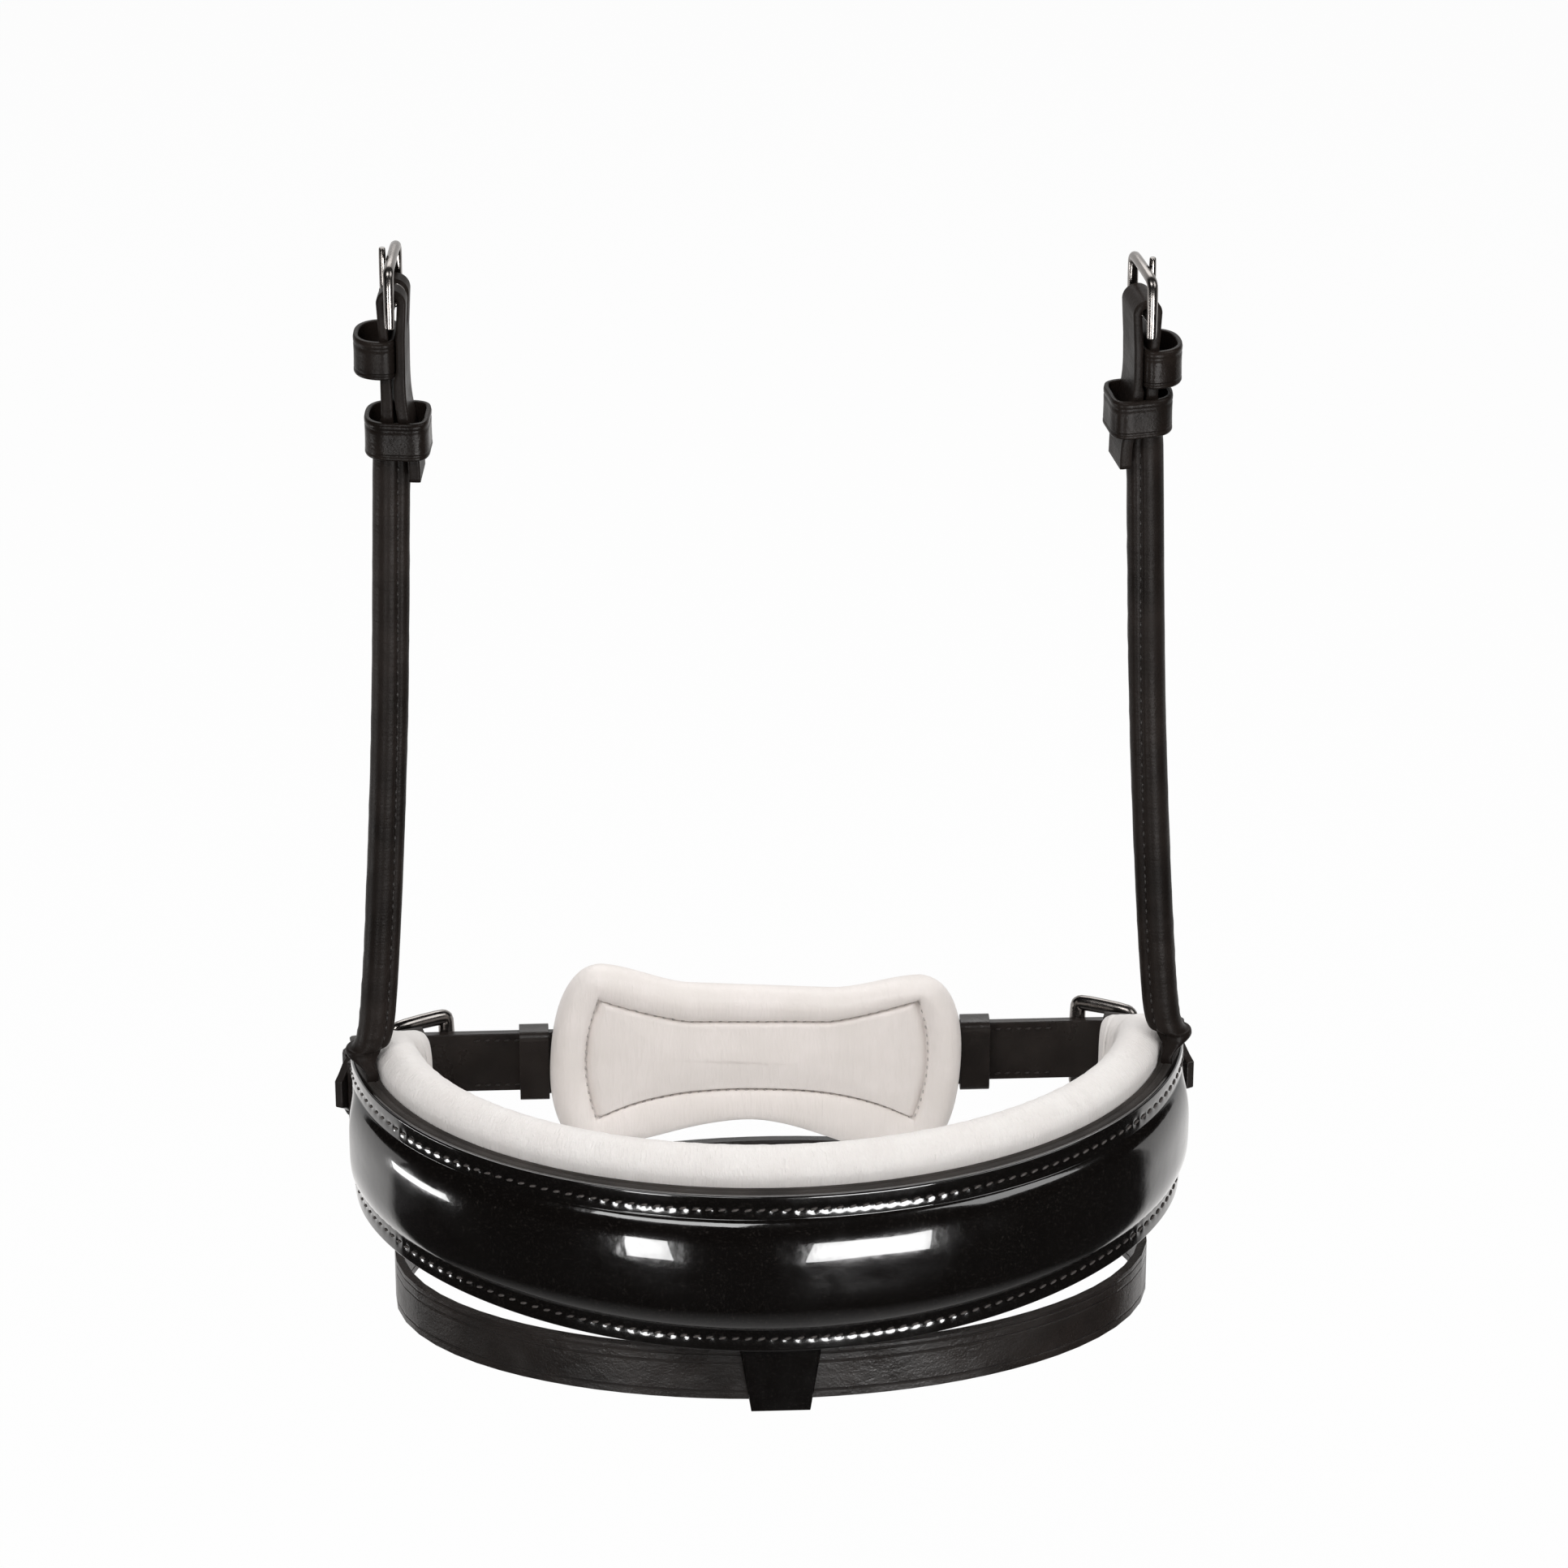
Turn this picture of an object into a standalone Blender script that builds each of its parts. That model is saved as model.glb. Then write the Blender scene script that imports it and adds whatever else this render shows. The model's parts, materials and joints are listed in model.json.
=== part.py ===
"""Padded double-buckle noseband with a flash strap.

A bent leather nosepiece with a raised glossy face and a rolled white pad hangs from two
rolled cheek straps. A chin strap with a sliding pad buckles to its two ends, and a flash
strap runs through a loop under its front. X is to the right, Y points away from the nose's
front, Z is up. The origin is in the middle of the loops, level with the lowest buckle.
"""
import math

import bmesh
import bpy
from mathutils import Matrix, Vector

MM = 0.001
GAP = 0.3 * MM

# Nosepiece, seen from above: half an ellipse in front, a round corner at each end
NOSE_HALF_WIDTH = 118.5 * MM
NOSE_REACH = 88.0 * MM
NOSE_CORNER = 24.0 * MM
NOSE_CORNER_SWEEP = math.radians(80.0)
NOSE_FRONT_Y = -60.0 * MM

# Nosepiece, seen from the front
NOSE_MID_Z = 47.0 * MM
NOSE_HALF_HEIGHT = 25.0 * MM
NOSE_SIDE_LIFT = 5.0 * MM
NOSE_END_DROP = 7.0 * MM
NOSE_END_LIFT = 7.0 * MM
NOSE_TAPER_LENGTH = 55.0 * MM

# Layers of the nosepiece
FACE_THICKNESS = 1.2 * MM
FACE_MARGIN = 7.2 * MM
FACE_CROWN = 4.6 * MM
FACE_SIDE_CROWN = 3.0 * MM
FACE_END_BACK = 33.0 * MM
FILLER_REACH = 0.86
BACKING_THICKNESS = 3.9 * MM
PAD_THICKNESS = 13.0 * MM
PAD_TOP_ROLL = 8.5 * MM
PAD_END_ROLL = 4.0 * MM
PAD_BOTTOM_ROLL = 5.0 * MM
PAD_ROLL_START = 18.0 * MM
PAD_ROLL_FULL = 60.0 * MM
PAD_SWELL = 1.2 * MM
COVER_THICKNESS = 1.2 * MM

# Straps and their buckles
STRAP_THICKNESS = 2.4 * MM
CHAPE_THICKNESS = 1.8 * MM
KEEPER_THICKNESS = 1.5 * MM
KEEPER_BEND = 0.9 * MM
BAR_RADIUS = 1.3 * MM
TONGUE_RADIUS = 1.0 * MM
ROD_SHARE = 0.98
FRAME_CORNER = 2.6 * MM
TONGUE_SLOT_LENGTH = 13.0 * MM
TONGUE_SLOT_WIDTH = 3.2 * MM
TONGUE_SLOT_BACK = 1.3 * MM
TONGUE_HOLE_HEIGHT = 3.4 * MM
TONGUE_HOLE_BACK = 1.0 * MM

# Cheek straps
CHEEK_WIDTH = 12.5 * MM
CHEEK_Y = 12.0 * MM
CHEEK_POCKET_DEPTH = 18.0 * MM
CHEEK_MOUTH_RISE = 2.0 * MM
CHEEK_NECK_RISE = 8.0 * MM
CHEEK_NECK_OUT = -2.2 * MM
CHEEK_ROLL_RADIUS = 4.4 * MM
CHEEK_ROLL_SPAN = 10.2 * MM
CHEEK_SEAM_THICKNESS = 3.0 * MM
CHEEK_LOW_X = 110.0 * MM
CHEEK_LOW_Z = 92.0 * MM
CHEEK_MID_X = 104.6 * MM
CHEEK_MID_Z = 175.0 * MM
CHEEK_ROLL_TOP_X = 101.5 * MM
CHEEK_ROLL_TOP_Z = 263.0 * MM
CHEEK_FLAT_Z = 281.0 * MM
CHEEK_TIP_Z = 259.0 * MM
CHEEK_BAR_X = 99.8 * MM
CHEEK_BAR_Z = {"left": 311.0 * MM, "right": 304.0 * MM}
CHEEK_TURN = {"left": math.radians(6.0), "right": math.radians(10.0)}
UPPER_KEEPER_DROP = 10.6 * MM
UPPER_KEEPER_REACH = 11.0 * MM
KEEPER_HEIGHT = 10.8 * MM
UPPER_KEEPER_BOW = 5.2 * MM
LOWER_KEEPER_BEND = 1.8 * MM
LOWER_KEEPER_BOW = 4.4 * MM
CHEEK_KEEPER_STEPS = 5
LOWER_KEEPER_Z = {"left": 266.0 * MM, "right": 268.5 * MM}
LOWER_KEEPER_SPAN = 17.6 * MM
TOP_FRAME_LENGTH = 11.0 * MM
TOP_FRAME_HALF_WIDTH = 10.0 * MM
TOP_FRAME_HORN = 5.0 * MM

# Chin strap and pad
CHIN_Z = 49.0 * MM
CHIN_WIDTH = 19.0 * MM
CHIN_FRAME_LENGTH = 18.0 * MM
CHIN_FRAME_HALF_WIDTH = 14.7 * MM
CHIN_BAR_BACK = 7.3 * MM
CHAPE_LENGTH = 14.5 * MM
CHIN_TAIL = 17.0 * MM
CHIN_TIP = 8.0 * MM
CHIN_KEEPER_BACK = 5.0 * MM
CHIN_KEEPER_LENGTH = 7.0 * MM
CHIN_PAD_X = -2.5 * MM
CHIN_PAD_Z = 52.5 * MM
CHIN_PAD_TILT = math.radians(-4.0)
CHIN_PAD_HALF_LENGTH = 59.2 * MM
CHIN_PAD_LOBE = 29.3 * MM
CHIN_PAD_TOP_WAIST = 24.4 * MM
CHIN_PAD_BOTTOM_WAIST = 18.6 * MM
CHIN_PAD_TOP_FLAT = 20.0 * MM
CHIN_PAD_LOBE_AT = 46.0 * MM
CHIN_PAD_FULLNESS = 2.3
CHIN_PAD_SPINE = 30.0 * MM
CHIN_PAD_SIDE_STEPS = 7
CHIN_PAD_END_STEPS = 7
CHIN_PAD_DEPTH = 11.5 * MM
CHIN_PAD_ROUND = 5.5 * MM
CHIN_PAD_LIP = 7.0 * MM
CHIN_PAD_BORDER = 11.0 * MM
CHIN_PAD_SEAM = 1.3 * MM
CHIN_PLATE_THICKNESS = 2.0 * MM
CHIN_RUNNER_WIDTH = 8.5 * MM

# Flash strap and its loop
FLASH_WIDTH = 16.0 * MM
FLASH_HALF_WIDTH = 106.0 * MM
FLASH_HALF_DEPTH = 56.5 * MM
FLASH_BUCKLE_ANGLE = math.radians(137.0)
FLASH_FRAME_LENGTH = 14.0 * MM
FLASH_FRAME_HALF_WIDTH = 10.2 * MM
FLASH_TAIL = 34.0 * MM
FLASH_TIP = 10.0 * MM
FLASH_TURN_BACK = 13.0 * MM
FLASH_EASE = 26.0 * MM
FLASH_DIP = 2.2 * MM
FLASH_BUCKLE_NEAR = 17.5 * MM
FLASH_BILLET_START = 0.3
FLASH_KEEPER_AT = 21.5 * MM
FLASH_KEEPER_LENGTH = 7.0 * MM
LOOP_TOP_WIDTH = 23.0 * MM
LOOP_BOTTOM_WIDTH = 16.5 * MM
LOOP_THICKNESS = 1.6 * MM
LOOP_HEIGHT_PLAY = 0.6 * MM
LOOP_DEPTH_PLAY = 1.2 * MM
LOOP_POCKET = 9.0 * MM

# How finely the curved pieces are divided
STATION_SPREAD = 1.35
SECTION_SIDES = 16

# Sides and colours
SIDE_SIGN = {"left": -1.0, "right": 1.0}
PATENT = (0.008, 0.006, 0.005)
BLACK_LEATHER = (0.020, 0.017, 0.015)
WHITE_LEATHER = (0.76, 0.73, 0.70)
FOAM = (0.72, 0.68, 0.58)
GUNMETAL = (0.22, 0.20, 0.19)

# Places that follow from the sizes above
TONGUE_EYE = BAR_RADIUS + GAP + TONGUE_RADIUS
TONGUE_SLOT_DEPTH = 6.0 * TONGUE_EYE
TONGUE_HOLE_LOW = TONGUE_EYE - TONGUE_RADIUS - 1.3 * GAP
FOLD_RADIUS = BAR_RADIUS + GAP + STRAP_THICKNESS / 2.0
OVER_FOLD = FOLD_RADIUS + STRAP_THICKNESS + GAP
BACKING_FRONT = -FACE_THICKNESS - GAP
BACKING_BACK = BACKING_FRONT - BACKING_THICKNESS
PAD_FRONT = BACKING_BACK - GAP
PLY_SPREAD = KEEPER_THICKNESS / 2.0 + GAP + STRAP_THICKNESS / 2.0
CHIN_BAR_OUT = BACKING_FRONT + 2.0 * GAP + TONGUE_EYE + TONGUE_RADIUS
CHAPE_FOLD = BAR_RADIUS + GAP + CHAPE_THICKNESS / 2.0
CHAPE_OVER = CHAPE_FOLD + CHAPE_THICKNESS / 2.0 + GAP + STRAP_THICKNESS / 2.0
CHAPE_INNER = BACKING_FRONT + GAP + CHAPE_THICKNESS / 2.0
CHAPE_OUTER = CHAPE_INNER + CHAPE_THICKNESS + KEEPER_THICKNESS + 3.0 * GAP
CHIN_TAIL_OUT = CHAPE_OUTER + (CHAPE_THICKNESS + STRAP_THICKNESS) / 2.0 + GAP
LOOP_SAG = (LOOP_TOP_WIDTH / 2.0) ** 2 * NOSE_REACH / (2.0 * NOSE_HALF_WIDTH ** 2)
LOOP_FRONT = BACKING_FRONT - LOOP_SAG
FLASH_MIDDLE = LOOP_FRONT - LOOP_THICKNESS - LOOP_DEPTH_PLAY - STRAP_THICKNESS / 2.0
LOOP_TOP_Z = NOSE_MID_Z - NOSE_HALF_HEIGHT - GAP
FLASH_Z = LOOP_TOP_Z - LOOP_THICKNESS - LOOP_HEIGHT_PLAY - FLASH_WIDTH / 2.0


def clear_scene():
    """Remove every object that the file opened with."""
    for item in list(bpy.data.objects):
        bpy.data.objects.remove(item, do_unlink=True)


def new_collection(name):
    """Make a collection under the scene's own."""
    group = bpy.data.collections.new(name)
    bpy.context.scene.collection.children.link(group)
    return group


clear_scene()
PARTS = new_collection("noseband")
CUTTERS = new_collection("cutters")


def material(name, colour, roughness, metallic=0.0, coat=0.0):
    """Make a plain Principled material."""
    made = bpy.data.materials.new(name)
    made.use_nodes = True
    shader = made.node_tree.nodes["Principled BSDF"]
    shader.inputs["Base Color"].default_value = (*colour, 1.0)
    shader.inputs["Roughness"].default_value = roughness
    shader.inputs["Metallic"].default_value = metallic
    shader.inputs["Coat Weight"].default_value = coat
    return made


def link(name, mesh, colour, roughness, metallic=0.0, coat=0.0):
    """Put a mesh in the noseband's collection under its node's name, with its own material."""
    item = bpy.data.objects.new(name, mesh)
    mesh.materials.clear()
    mesh.materials.append(material(name + "_finish", colour, roughness, metallic, coat))
    PARTS.objects.link(item)
    return item


def leather(name, mesh):
    """Link a piece of matt black leather."""
    return link(name, mesh, BLACK_LEATHER, 0.55)


def metal(name, mesh):
    """Link a piece of dark polished metal."""
    return link(name, mesh, GUNMETAL, 0.25, metallic=1.0)


def smooth_step(value):
    """Ease from 0 to 1, flat at both ends."""
    held = min(1.0, max(0.0, value))
    return held * held * (3.0 - 2.0 * held)


def blend(low, high, share):
    """Mix two numbers or vectors."""
    return low + (high - low) * share


def smooth_points(points, steps):
    """Pass a Catmull-Rom curve through points, with a number of steps between each pair."""
    held = [Vector(point) for point in points]
    ends = [held[0] * 2.0 - held[1]] + held + [held[-1] * 2.0 - held[-2]]
    made = []
    for index in range(1, len(ends) - 2):
        before, start, end, after = ends[index - 1:index + 3]
        for step in range(steps):
            t = step / steps
            made.append(0.5 * (2.0 * start + (end - before) * t
                               + (2.0 * before - 5.0 * start + 4.0 * end - after) * t * t
                               + (3.0 * start - before - 3.0 * end + after) * t ** 3))
    made.append(held[-1])
    return made


class Route:
    """A plan curve that is read by its length, with its outward normal."""

    def __init__(self, points):
        self.points = points
        self.lengths = [0.0]
        for start, end in zip(points, points[1:]):
            self.lengths.append(self.lengths[-1] + (end - start).length)
        self.total = self.lengths[-1]

    def at(self, length):
        """Return the point and the unit tangent at a length, straight on past both ends."""
        index = 1
        while index < len(self.lengths) - 1 and self.lengths[index] < length:
            index += 1
        start = self.points[index - 1]
        tangent = (self.points[index] - start).normalized()
        before = max(index - 2, 0)
        after = min(index + 1, len(self.points) - 1)
        broad = (self.points[after] - self.points[before]).normalized()
        return start + tangent * (length - self.lengths[index - 1]), broad


class HalfRoute(Route):
    """A route that starts at the middle of the front and is mirrored for minus lengths."""

    def place(self, length, outward):
        """Return the plan point at a signed length and a distance outside the curve."""
        point, tangent = self.at(abs(length))
        made = point + Vector((tangent.y, -tangent.x)) * outward
        if length < 0.0:
            made.x = -made.x
        return made


class RingRoute(Route):
    """A closed route that runs clockwise from above, read round and round."""

    def place(self, length, outward):
        """Return the plan point at a length and a distance outside the curve."""
        point, tangent = self.at(length % self.total)
        return point + Vector((-tangent.y, tangent.x)) * outward


def nose_route():
    """Return the plan curve of the nosepiece's outer face, from the front to the right end."""
    centre_y = NOSE_FRONT_Y + NOSE_REACH
    count = 220
    points = []
    for step in range(count + 1):
        angle = math.pi / 2.0 * step / count
        points.append(Vector((NOSE_HALF_WIDTH * math.sin(angle), centre_y - NOSE_REACH * math.cos(angle))))
    corner_x = NOSE_HALF_WIDTH - NOSE_CORNER
    for step in range(1, count // 4 + 1):
        angle = NOSE_CORNER_SWEEP * step / (count // 4)
        points.append(Vector((corner_x + NOSE_CORNER * math.cos(angle), centre_y + NOSE_CORNER * math.sin(angle))))
    return HalfRoute(points)


NOSE = nose_route()
NOSE_END = NOSE.total
FACE_END = NOSE_END - FACE_END_BACK


def flash_route():
    """Return the flash strap's middle line, from its buckle's hinge round by the back."""
    count = 480
    centre_y = NOSE_FRONT_Y - FLASH_MIDDLE + FLASH_HALF_DEPTH
    points = []
    for step in range(count + 1):
        angle = -FLASH_BUCKLE_ANGLE + 2.0 * math.pi * step / count
        points.append(Vector((FLASH_HALF_WIDTH * math.sin(angle), centre_y - FLASH_HALF_DEPTH * math.cos(angle))))
    return RingRoute(list(reversed(points)))


def nose_top(length):
    """Return the height of the nosepiece's top edge at a length from the front."""
    share = smooth_step((abs(length) - (NOSE_END - NOSE_TAPER_LENGTH)) / NOSE_TAPER_LENGTH)
    return NOSE_MID_Z + NOSE_HALF_HEIGHT - NOSE_END_DROP * share


def nose_bottom(length):
    """Return the height of the nosepiece's bottom edge at a length from the front."""
    side = smooth_step(abs(length) / (NOSE_END - NOSE_TAPER_LENGTH))
    end = smooth_step((abs(length) - (NOSE_END - NOSE_TAPER_LENGTH)) / NOSE_TAPER_LENGTH)
    return NOSE_MID_Z - NOSE_HALF_HEIGHT + NOSE_SIDE_LIFT * side + NOSE_END_LIFT * end


def spread(end, share):
    """Return a signed length for a share from 0 to 1, with stations closer near both ends."""
    way = 2.0 * share - 1.0
    return math.copysign(end * (1.0 - (1.0 - abs(way)) ** STATION_SPREAD), way)


def grid_mesh(name, columns, rows, shape, closed=False):
    """Bend a flat grid into shape(u, v), both from 0 to 1; closed joins v=0 to v=1 and caps the ends."""
    made = bmesh.new()
    bmesh.ops.create_grid(made, x_segments=columns, y_segments=rows, size=1.0)
    for vert in made.verts:
        vert.co = shape((vert.co.x + 1.0) / 2.0, (vert.co.y + 1.0) / 2.0)
    if closed:
        bmesh.ops.remove_doubles(made, verts=made.verts, dist=0.01 * MM)
        bmesh.ops.holes_fill(made, edges=[edge for edge in made.edges if edge.is_boundary], sides=0)
    bmesh.ops.recalc_face_normals(made, faces=made.faces)
    mesh = bpy.data.meshes.new(name)
    made.to_mesh(mesh)
    made.free()
    return mesh


def solidify(item, thickness, offset=0.0):
    """Give an open sheet its thickness; an offset of 0 keeps the sheet in the middle."""
    shell = item.modifiers.new("thickness", "SOLIDIFY")
    shell.thickness = thickness
    shell.offset = offset
    shell.use_even_offset = True


def plan_strip(name, points, low, high):
    """Make an upright sheet over plan points; low and high give its edges' heights by share."""
    lengths = [0.0]
    for start, end in zip(points, points[1:]):
        lengths.append(lengths[-1] + (end - start).length)
    last = len(points) - 1

    def shape(u, v):
        index = round(u * last)
        share = lengths[index] / lengths[-1]
        return Vector((points[index].x, points[index].y, blend(low(share), high(share), v)))

    return grid_mesh(name, last, 1, shape)


def strip_heights(middle, width, length, start_tip=0.0, end_tip=0.0, tip_share=0.45):
    """Return the low and high edge of a strip whose tips narrow over a given length."""
    def half(share):
        reach = 1.0
        if start_tip > 0.0:
            reach = min(reach, blend(tip_share, 1.0, smooth_step(share * length / start_tip)))
        if end_tip > 0.0:
            reach = min(reach, blend(tip_share, 1.0, smooth_step((1.0 - share) * length / end_tip)))
        return width / 2.0 * reach

    return (lambda share: middle - half(share)), (lambda share: middle + half(share))


def plan_length(points):
    """Return the length of a line of plan points."""
    return sum((end - start).length for start, end in zip(points, points[1:]))


def box_cutter(name, matrix, size, centre):
    """Make a hidden box cutter of a size about a centre, both in the matrix's own axes."""
    made = bmesh.new()
    bmesh.ops.create_cube(made, size=1.0)
    bmesh.ops.scale(made, verts=made.verts, vec=size)
    bmesh.ops.translate(made, verts=made.verts, vec=centre)
    mesh = bpy.data.meshes.new(name)
    made.to_mesh(mesh)
    made.free()
    return hide_cutter(name, mesh, matrix)


def hide_cutter(name, mesh, matrix=Matrix()):
    """Put a cutter's mesh in the hidden collection of cutters."""
    item = bpy.data.objects.new(name, mesh)
    item.matrix_world = matrix
    item.hide_render = True
    item.display_type = "WIRE"
    CUTTERS.objects.link(item)
    return item


def cut(item, cutter, operation="DIFFERENCE"):
    """Take a cutter away from a piece, or join it on."""
    boolean = item.modifiers.new(cutter.name, "BOOLEAN")
    boolean.operation = operation
    boolean.solver = "EXACT"
    boolean.object = cutter


def curve_mesh(name, points, radius, closed=False, sides=2):
    """Make a closed tube's mesh along points."""
    curve = bpy.data.curves.new(name, "CURVE")
    curve.dimensions = "3D"
    curve.bevel_depth = radius
    curve.bevel_resolution = sides
    curve.use_fill_caps = not closed
    curve.resolution_u = 1
    spline = curve.splines.new("POLY")
    spline.points.add(len(points) - 1)
    for slot, point in zip(spline.points, points):
        slot.co = (*point, 1.0)
    spline.use_cyclic_u = closed
    return baked(name, curve)


def outline_mesh(name, outlines, half_thickness):
    """Make a flat plate's mesh from closed outlines, with holes where they nest."""
    curve = bpy.data.curves.new(name, "CURVE")
    curve.dimensions = "2D"
    curve.fill_mode = "BOTH"
    curve.extrude = half_thickness
    for outline in outlines:
        spline = curve.splines.new("POLY")
        spline.points.add(len(outline) - 1)
        for slot, point in zip(spline.points, outline):
            slot.co = (point[0], point[1], 0.0, 1.0)
        spline.use_cyclic_u = True
    return baked(name, curve)


def baked(name, curve):
    """Turn a curve into a mesh with welded caps."""
    holder = bpy.data.objects.new(name + "_curve", curve)
    bpy.context.scene.collection.objects.link(holder)
    bpy.context.view_layer.update()
    evaluated = holder.evaluated_get(bpy.context.evaluated_depsgraph_get())
    mesh = bpy.data.meshes.new_from_object(evaluated)
    bpy.data.objects.remove(holder, do_unlink=True)
    made = bmesh.new()
    made.from_mesh(mesh)
    bmesh.ops.remove_doubles(made, verts=made.verts, dist=0.01 * MM)
    bmesh.ops.recalc_face_normals(made, faces=made.faces)
    made.to_mesh(mesh)
    made.free()
    mesh.name = name
    return mesh


def round_box(low_x, high_x, low_y, high_y, radius, high_radius=None, steps=3):
    """Return a rectangle's outline with round corners; the two at high x may have their own radius."""
    bow = radius if high_radius is None else high_radius
    corners = ((high_x - bow, high_y - bow, bow), (low_x + radius, high_y - radius, radius),
               (low_x + radius, low_y + radius, radius), (high_x - bow, low_y + bow, bow))
    points = []
    for quarter, (x, y, bend) in enumerate(corners):
        for step in range(steps + 1):
            angle = math.pi / 2.0 * (quarter + step / steps)
            points.append((x + bend * math.cos(angle), y + bend * math.sin(angle)))
    return points


def local_axes(origin, along, across, outward):
    """Return the matrix whose X, Y and Z are a buckle's along, across and outward."""
    made = Matrix.Identity(4)
    for column, axis in enumerate((along, across, outward)):
        for row in range(3):
            made[row][column] = axis[row]
    made.translation = origin
    return made


def buckle_axes(origin, along, outward):
    """Return right-handed axes about a buckle's bar: along the strap, along the bar, outward."""
    return local_axes(origin, along, outward.cross(along), outward)


def place_mesh(mesh, matrix):
    """Move a mesh's points by a matrix and keep its faces pointing out."""
    mesh.transform(matrix)
    if matrix.determinant() < 0.0:
        mesh.flip_normals()
    return mesh


def seat_origin(item, point):
    """Put an object's origin at a point without moving its shape."""
    item.data.transform(Matrix.Translation(-point))
    item.matrix_world = Matrix.Translation(point)


def buckle_frame(name, matrix, length, half_width, horn=0.0):
    """Make a wire frame that hinges on its bar at the local origin; horns run past the bar."""
    ring = round_box(0.0, length, -half_width, half_width, FRAME_CORNER)
    if horn > 0.0:
        bend = [point for point in ring if point[0] > 0.5 * length]
        bend.sort(key=lambda point: -point[1])
        hoop = [(-horn, half_width)] + bend + [(-horn, -half_width)]
        item = metal(name, place_mesh(curve_mesh(name, [(x, y, 0.0) for x, y in hoop], BAR_RADIUS), matrix))
        ends = [(0.0, -half_width, 0.0), (0.0, half_width, 0.0)]
        rod = place_mesh(curve_mesh(name + "_bar", ends, BAR_RADIUS * ROD_SHARE), matrix)
        cut(item, hide_cutter(name + "_bar", rod), "UNION")
        return item
    mesh = curve_mesh(name, [(x, y, 0.0) for x, y in ring], BAR_RADIUS, closed=True)
    return metal(name, place_mesh(mesh, matrix))


def buckle_tongue(name, matrix, length):
    """Make a wire tongue that hooks round the bar and rests on the frame's far bar."""
    points = []
    for step in range(14):
        angle = math.radians(-10.0 - 260.0 * step / 13.0)
        points.append((TONGUE_EYE * math.cos(angle), 0.0, TONGUE_EYE * math.sin(angle)))
    points.append((length + TONGUE_EYE, 0.0, TONGUE_EYE))
    return metal(name, place_mesh(curve_mesh(name, points, TONGUE_RADIUS), matrix))


def crown_at(length, share, height):
    """Return how far the face stands out; share runs over its height from edge to edge."""
    inner = height / 2.0 - FACE_MARGIN
    across = abs(share - 0.5) * height / inner
    if across >= 1.0:
        return 0.0
    top = blend(FACE_CROWN, FACE_SIDE_CROWN, smooth_step(abs(length) / FACE_END))
    ending = smooth_step((FACE_END - FACE_MARGIN - abs(length)) / (2.2 * FACE_MARGIN))
    return top * ending * (1.0 - across ** 3) ** 0.7


def raised(point, height):
    """Give a plan point its height."""
    return Vector((point.x, point.y, height))


def margin_share(v, rows, height):
    """Spread the rows so that one lies on each margin line and the rest between them."""
    index = round(v * rows)
    edge = FACE_MARGIN / height
    if index == 0:
        return 0.0
    if index == rows:
        return 1.0
    return edge + (1.0 - 2.0 * edge) * (0.5 - 0.5 * math.cos(math.pi * (index - 1) / (rows - 2)))


def build_face():
    """Make the glossy face: flat stitched margins round a raised middle."""
    columns = 44
    rows = 9

    def shape(u, v):
        length = spread(FACE_END, u)
        low = nose_bottom(length)
        height = nose_top(length) - low
        share = margin_share(v, rows, height)
        outward = crown_at(length, share, height) - FACE_THICKNESS / 2.0
        return raised(NOSE.place(length, outward), low + height * share)

    item = link("nosepiece_face", grid_mesh("nosepiece_face", columns, rows, shape), PATENT, 0.08, coat=1.0)
    solidify(item, FACE_THICKNESS)


def build_filler():
    """Make the strip that raises the face's middle."""
    end = FACE_END - 2.4 * FACE_MARGIN
    sides = 8

    def shape(u, v):
        length = spread(end, u)
        low = nose_bottom(length)
        height = nose_top(length) - low
        reach = FILLER_REACH * (0.5 - FACE_MARGIN / height)
        index = round(v * (2 * sides)) % (2 * sides)
        if index <= sides:
            share = 0.5 + reach * math.cos(math.pi * index / sides)
            outward = crown_at(length, share, height) - FACE_THICKNESS - 3.0 * GAP
            outward = max(outward, BACKING_FRONT + 1.5 * GAP)
        else:
            share = 0.5 - reach * math.cos(math.pi * (index - sides) / sides)
            outward = BACKING_FRONT + GAP
        return raised(NOSE.place(length, outward), low + height * share)

    mesh = grid_mesh("crown_filler", 36, 2 * sides, shape, closed=True)
    link("crown_filler", mesh, FOAM, 0.9)


def nose_axes(length, outward, height):
    """Return axes at a place on the nosepiece: along it to the right, up, and outward."""
    place = NOSE.place(length, outward)
    out = (NOSE.place(length, outward + MM) - place).normalized()
    return local_axes(raised(place, height), Vector((-out.y, out.x, 0.0)),
                      Vector((0.0, 0.0, 1.0)), Vector((out.x, out.y, 0.0)))


def cheek_length():
    """Return the length along the nosepiece at which a cheek strap enters it."""
    low = 0.0
    high = NOSE_END
    for _ in range(40):
        middle = (low + high) / 2.0
        if NOSE.place(middle, 0.0).y < CHEEK_Y:
            low = middle
        else:
            high = middle
    return middle


CHEEK_AT = cheek_length()
CHEEK_FOOT_Z = nose_top(CHEEK_AT) - CHEEK_POCKET_DEPTH
CHIN_AT = NOSE_END - CHIN_BAR_BACK


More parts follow.
